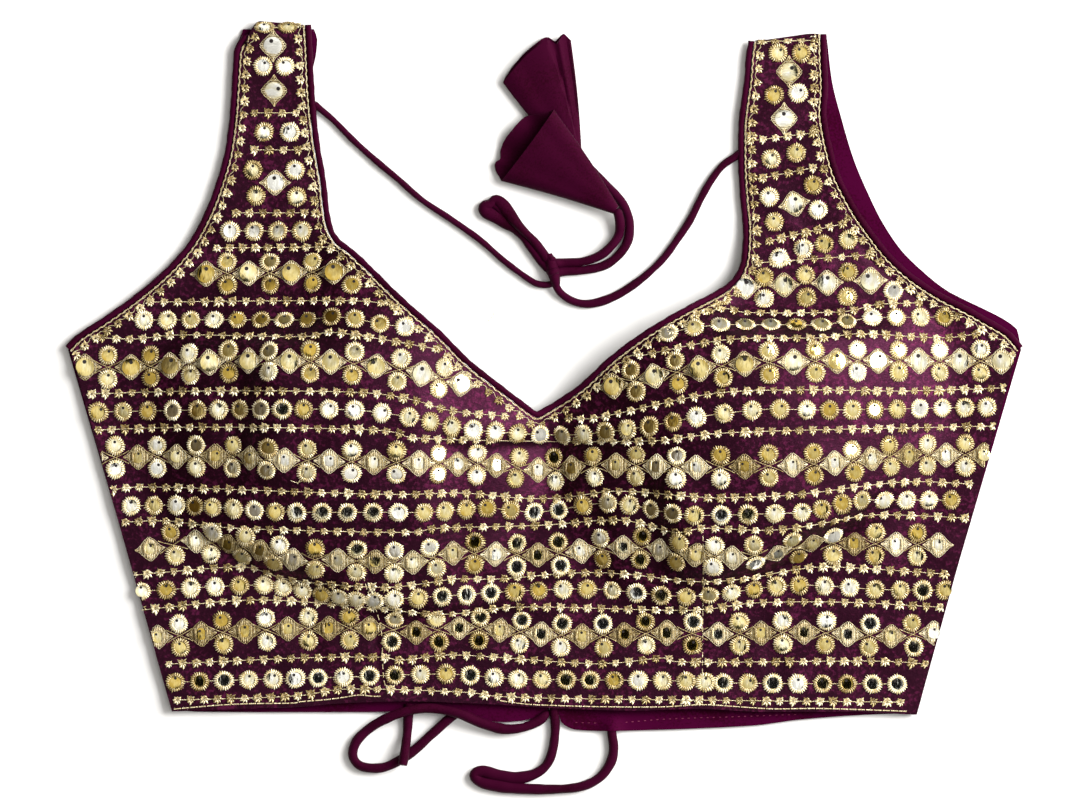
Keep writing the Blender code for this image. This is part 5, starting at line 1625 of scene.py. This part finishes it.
# Threads inside the edges: (above the cloth, radius, spacing of its rings)
STAR_THREAD, ROW_THREAD, LONE_THREAD = (0.12, 0.20, 1.6), (0.05, 0.17, 1.6), (0.20, 0.30, 1.6)
LOOSE_THREAD, CROSSED_THREAD = (0.70, 0.16, 1.6), (0.25, 0.24, 1.2)
HEM_THREAD, DART_THREAD = (0.20, 0.30, 0.8), (0.05, 0.24, 0.7)
# Running stitches: length, and gap to the next
HEM_STITCH, DART_STITCH = (3.5, 0.5), (2.5, 1.5)
STITCH_STEP = 0.5
# How far inside the bound edges their row of stars runs
BORDER_STARS = 3.2
# Threads along each bound edge: (inwards, above the cloth, radius, step, sway, sway's wave)
BORDER_THREADS = [(0.2, 0.2, 0.22, 0.8, 0.22, 3.6), (0.4, 0.2, 0.20, 0.8, -0.26, 3.9),
                  (2.4, 0.1, 0.18, 1.2, 0.7, 5.3)]
DIAMOND_SIZE, WIDE_SIZE, STAR_SIZE = 0.9, 0.93, 1.1
# How unequal the stars are, and how far stars and holes may be turned, in radians
STAR_SPREAD, STAR_SWING, HOLE_SWING = 0.09, 0.3, 0.35
# Clear of the front's edges by this much: a disc's middle, a ring or frame, and a star
DISC_MARGIN, FRAME_MARGIN, STAR_MARGIN = 1.5, 0.3, 0.2
# Tones run from brown at 0 to pale gold at 1; a wide diamond's is this much and up to that much more
GILT_TONE, BROWNED_TONE, WIDE_TONE, WIDE_TONE_MORE = 0.5, 0.0, 0.35, 0.5
# A thread's way from one diamond to the next: (share of the way, up)
CROSSING = [(0.20, 3.1), (0.28, 2.1), (0.38, 1.1), (0.50, 0.0), (0.62, -1.1), (0.72, -2.1), (0.80, -3.1)]
# Where the fold under the V swallows a row's stars: across from, to, up from, to
SWALLOWED = (-22.0, 6.0, -38.0, -29.0)


def stitches(line, length, gap):
    """Short plan lines along a longer one, with gaps between them."""
    fine = smooth_path(line, STITCH_STEP)
    per_stitch, per_pitch = int(length / STITCH_STEP), int((length + gap) / STITCH_STEP)
    return [fine[k:k + per_stitch + 1] for k in range(0, len(fine) - per_stitch, per_pitch)]


def chart():
    """All the mirrors, diamonds, wide diamonds and stars, as places."""
    mirrors, diamonds, wide = [], [], []
    for stops in SINGLE_ROWS.values():
        mirrors.append(as_places(*course(stops, all_counts(stops))))
    for name, stops in DIAMOND_ROWS.items():
        kind = wide if name in WIDE_ROWS else diamonds
        kind.append(as_places(*course(stops, all_counts(stops))))
        if name == UNPAIRED_ROW:
            continue
        x, y, turn = course(stops, all_counts(stops)[:-1] + 0.5)
        for rise in (PAIR_RISE, -PAIR_RISE):
            fall = rise * plan_share(x, y + rise)
            mirrors.append(as_places(x - fall * np.sin(turn), y + fall * np.cos(turn), turn))
    spare = np.array(STRAP_MIRRORS)
    mirrors.append(as_places(spare[:, 0], spare[:, 1], np.zeros(len(spare))))
    spare = np.array(STRAP_DIAMONDS)
    wide.append(as_places(spare[:, 0], spare[:, 1], np.radians(spare[:, 2])))
    diamonds, wide = np.vstack(diamonds), np.vstack(wide)
    diamonds[:, 3] *= DIAMOND_SIZE
    wide[:, 3] *= WIDE_SIZE
    wide[:, 4] = WIDE_TONE + WIDE_TONE_MORE * wide[:, 4]
    lines = list(STAR_ROWS.values()) + [move_sideways(line, -BORDER_STARS) for line in border_lines()]
    stars = np.vstack([as_places(*even_stars(line, STAR_PITCH), spread=STAR_SPREAD) for line in lines])
    low_x, high_x, low_y, high_y = SWALLOWED
    hidden = (stars[:, 0] > low_x) & (stars[:, 0] < high_x) & (stars[:, 1] > low_y) & (stars[:, 1] < high_y)
    return np.vstack(mirrors), diamonds, wide, stars[~hidden]


def crossed_threads():
    """Two threads that cross between each diamond and the next."""
    lines = []
    for name, stops in DIAMOND_ROWS.items():
        if name == UNPAIRED_ROW:
            continue
        x, y, _ = course(stops, all_counts(stops))
        row = np.column_stack([x, y])
        for near, far in zip(row[:-1], row[1:]):
            ahead = far - near
            rise = np.array([-ahead[1], ahead[0]]) / np.linalg.norm(ahead)
            middle = 0.5 * (near + far)
            rise *= plan_share(middle[0], middle[1])
            for way in (-1.0, 1.0):
                lines.append([near + share * ahead + way * up * rise for share, up in CROSSING])
    return lines


def make_mirror_work():
    """The whole embroidery, one joined mesh for each kind of motif."""
    mirrors, diamonds, wide, stars = chart()
    large = wide.copy()
    large[:, 3] *= WIDE_WINDOW / MIRROR_WINDOW
    discs = np.vstack([mirrors, diamonds, large])
    discs = discs[inside_front(discs[:, 0], discs[:, 1], DISC_MARGIN)]
    # Paler foil in some areas is a painted reflection
    discs[:, 4] = foil_tones_and_glints(discs)
    slants, level = disc_slants(discs)
    discs[level, 3] *= LEVEL_SIZE
    rings = mirrors.copy()
    rings[:, 2] = rng.uniform(0.0, 2.0 * math.pi, len(rings))
    stamp("mirror_rings", [model_ring() for _ in range(3)], rings, ZARI_RING, draped=True,
          margin=FRAME_MARGIN)
    stamp("mirror_discs", [model_mirror()], discs, FOIL, slants=slants)
    # Each disc hangs from its hole, so the hole is at the top whichever way the frame lies
    holes = discs.copy()
    holes[:, 2] = rng.normal(0.0, HOLE_SWING, len(holes))
    stamp("mirror_holes", [model_hole()], holes, HOLE, slants=slants)
    stamp("diamond_frames", [model_diamond(MIRROR_WINDOW)], diamonds, ZARI_FILL, draped=True,
          margin=FRAME_MARGIN)
    stamp("wide_diamond_frames", [model_diamond(WIDE_WINDOW)], wide, ZARI_FILL, draped=True,
          margin=FRAME_MARGIN)
    turned = stars.copy()
    turned[:, 3] *= STAR_SIZE
    turned[:, 2] += rng.uniform(-STAR_SWING, STAR_SWING, len(turned))
    stamp("star_knots", [model_star() for _ in range(3)], turned, ZARI_FILL, draped=True,
          margin=STAR_MARGIN)
    threads = [thread_line(line, *STAR_THREAD) for line in STAR_ROWS.values()]
    for line in border_lines():
        threads += [thread_line(move_sideways(line, -inwards), *way) for inwards, *way in BORDER_THREADS]
    for stops in SINGLE_ROWS.values():
        x, y, _ = course(stops, all_counts(stops))
        if len(x) > 2:
            threads.append(thread_line(np.column_stack([x, y]), *ROW_THREAD))
    gilt = len(threads)
    threads += [thread_line(line, *CROSSED_THREAD) for line in crossed_threads()]
    browned = len(threads)
    threads += [thread_line(line, *LONE_THREAD) for line in LONE_THREADS]
    for line in HEM_LINES:
        threads += [thread_line(stitch, *HEM_THREAD) for stitch in stitches(line, *HEM_STITCH)]
    for line in DARTS:
        threads += [thread_line(stitch, *DART_THREAD) for stitch in stitches(line, *DART_STITCH)]
    threads += [thread_line(line, *LOOSE_THREAD) for line in LOOSE_ENDS]
    points, faces, uv = join_shapes(threads)
    tone = [np.full(len(shape[0]), BROWNED_TONE if gilt <= number < browned else GILT_TONE)
            for number, shape in enumerate(threads)]
    piece = mesh_piece("couched_threads", points, faces, uv=uv, tone=np.concatenate(tone))
    finish_piece(piece, ZARI_FILL, 60.0)


make_mirror_work()

# Stitches that hold the right back's double hem: (across, up)
TOPSTITCH = [(15.0, -166.8), (34.0, -167.0), (58.0, -165.2), (92.0, -164.0), (122.0, -162.9)]
# Their length and the gap to the next, and the thread's radius
TOPSTITCH_RUN, TOPSTITCH_RADIUS = (1.0, 2.0), 0.22


def make_topstitch():
    """Running stitches that hold the right back's double hem."""
    shapes = []
    for part in stitches(TOPSTITCH, *TOPSTITCH_RUN):
        route = np.column_stack([part, np.full(len(part), BACK_WALL + HEM_ROLL)])
        shapes.append(tube(route, TOPSTITCH_RADIUS, THREAD_SIDES))
    points, faces, uv = join_shapes(shapes)
    piece = mesh_piece("hem_topstitch", points, faces, uv=uv)
    finish_piece(piece, PLAIN_THREAD, 60.0)


make_topstitch()


# ------------------------------------------------------------------ table, light
FLOOR_SIZE = 24.0
# The floor lies just under the cloth, so that no faces share a plane
FLOOR_CLEAR = 0.0003
STUDIO_STRENGTH = 1.4
KEY_PLACE, KEY_SIZE, KEY_POWER = (1.45, 0.55, 1.2), (1.3, 1.3), 82.0


def add_floor():
    """Table under the blouse, not part of it."""
    clear_selection()
    bpy.ops.mesh.primitive_grid_add(x_subdivisions=8, y_subdivisions=8, size=FLOOR_SIZE)
    floor = bpy.context.object
    floor.name = "floor"
    floor.location = (0.0, 0.0, -FLOOR_CLEAR)
    floor.data.materials.append(table_top())


def add_light(name, place, size, power, code):
    """Soft rectangular light, aimed at the middle of the blouse."""
    bpy.ops.object.light_add(type="AREA", location=place)
    light = bpy.context.object
    light.name = name
    light.data.shape = "RECTANGLE"
    light.data.size, light.data.size_y = size
    light.data.energy = power
    light.data.color = colour(code)[:3]
    light.visible_camera = False
    aim = -np.array(place)
    light.rotation_euler = (math.atan2(math.hypot(aim[0], aim[1]), -aim[2]), 0.0,
                            math.atan2(aim[0], -aim[1]) + math.pi)


def add_world():
    """Pale studio, dim low down on the left, with a dark patch of ceiling and uneven walls."""
    studio = bpy.data.worlds.new("studio")
    bpy.context.scene.world = studio
    studio.use_nodes = True
    background = studio.node_tree.nodes["Background"]
    place = add_node(studio, "ShaderNodeTexCoord")
    split = add_node(studio, "ShaderNodeSeparateXYZ", links=[("Vector", place, "Generated")])
    patches = add_node(studio, "ShaderNodeTexNoise", {"Scale": 5.0, "Detail": 2.0},
                       [("Vector", place, "Generated")])
    across = add_node(studio, "ShaderNodeMath", {"operation": "MULTIPLY_ADD", 1: 0.5, 2: 0.5},
                      [(0, split, "X")])
    height = ramp(studio, split, "Z", [(0.05, "#6A6A6A"), (0.40, "#C8C8C6"), (0.80, "#F4F2EE"),
                                       (0.976, "#FFFFFF"), (0.989, "#09090B")])
    side = ramp(studio, across, "Value", [(0.15, "#665A46"), (0.50, "#A8A6A4"), (0.80, "#FFFFFF")])
    low_down = ramp(studio, split, "Z", [(0.80, "#FFFFFF"), (0.96, "#000000")])
    uneven = ramp(studio, patches, "Fac", [(0.38, "#D0D0D0"), (0.60, "#FFFFFF")])
    multiply = {"data_type": "RGBA", "blend_type": "MULTIPLY", "Factor": 1.0}
    shade = add_node(studio, "ShaderNodeMix", multiply,
                     [("Factor", low_down, "Color"), ("A", height, "Color"), ("B", side, "Color")])
    walls = add_node(studio, "ShaderNodeMix", multiply, [("A", shade, "Result"), ("B", uneven, "Color")])
    connect(studio, walls, "Result", background, "Color")
    background.inputs["Strength"].default_value = STUDIO_STRENGTH


add_floor()
add_light("key_right", KEY_PLACE, KEY_SIZE, KEY_POWER, "#FFFDFA")
add_world()
bpy.context.scene.view_settings.view_transform = "Standard"
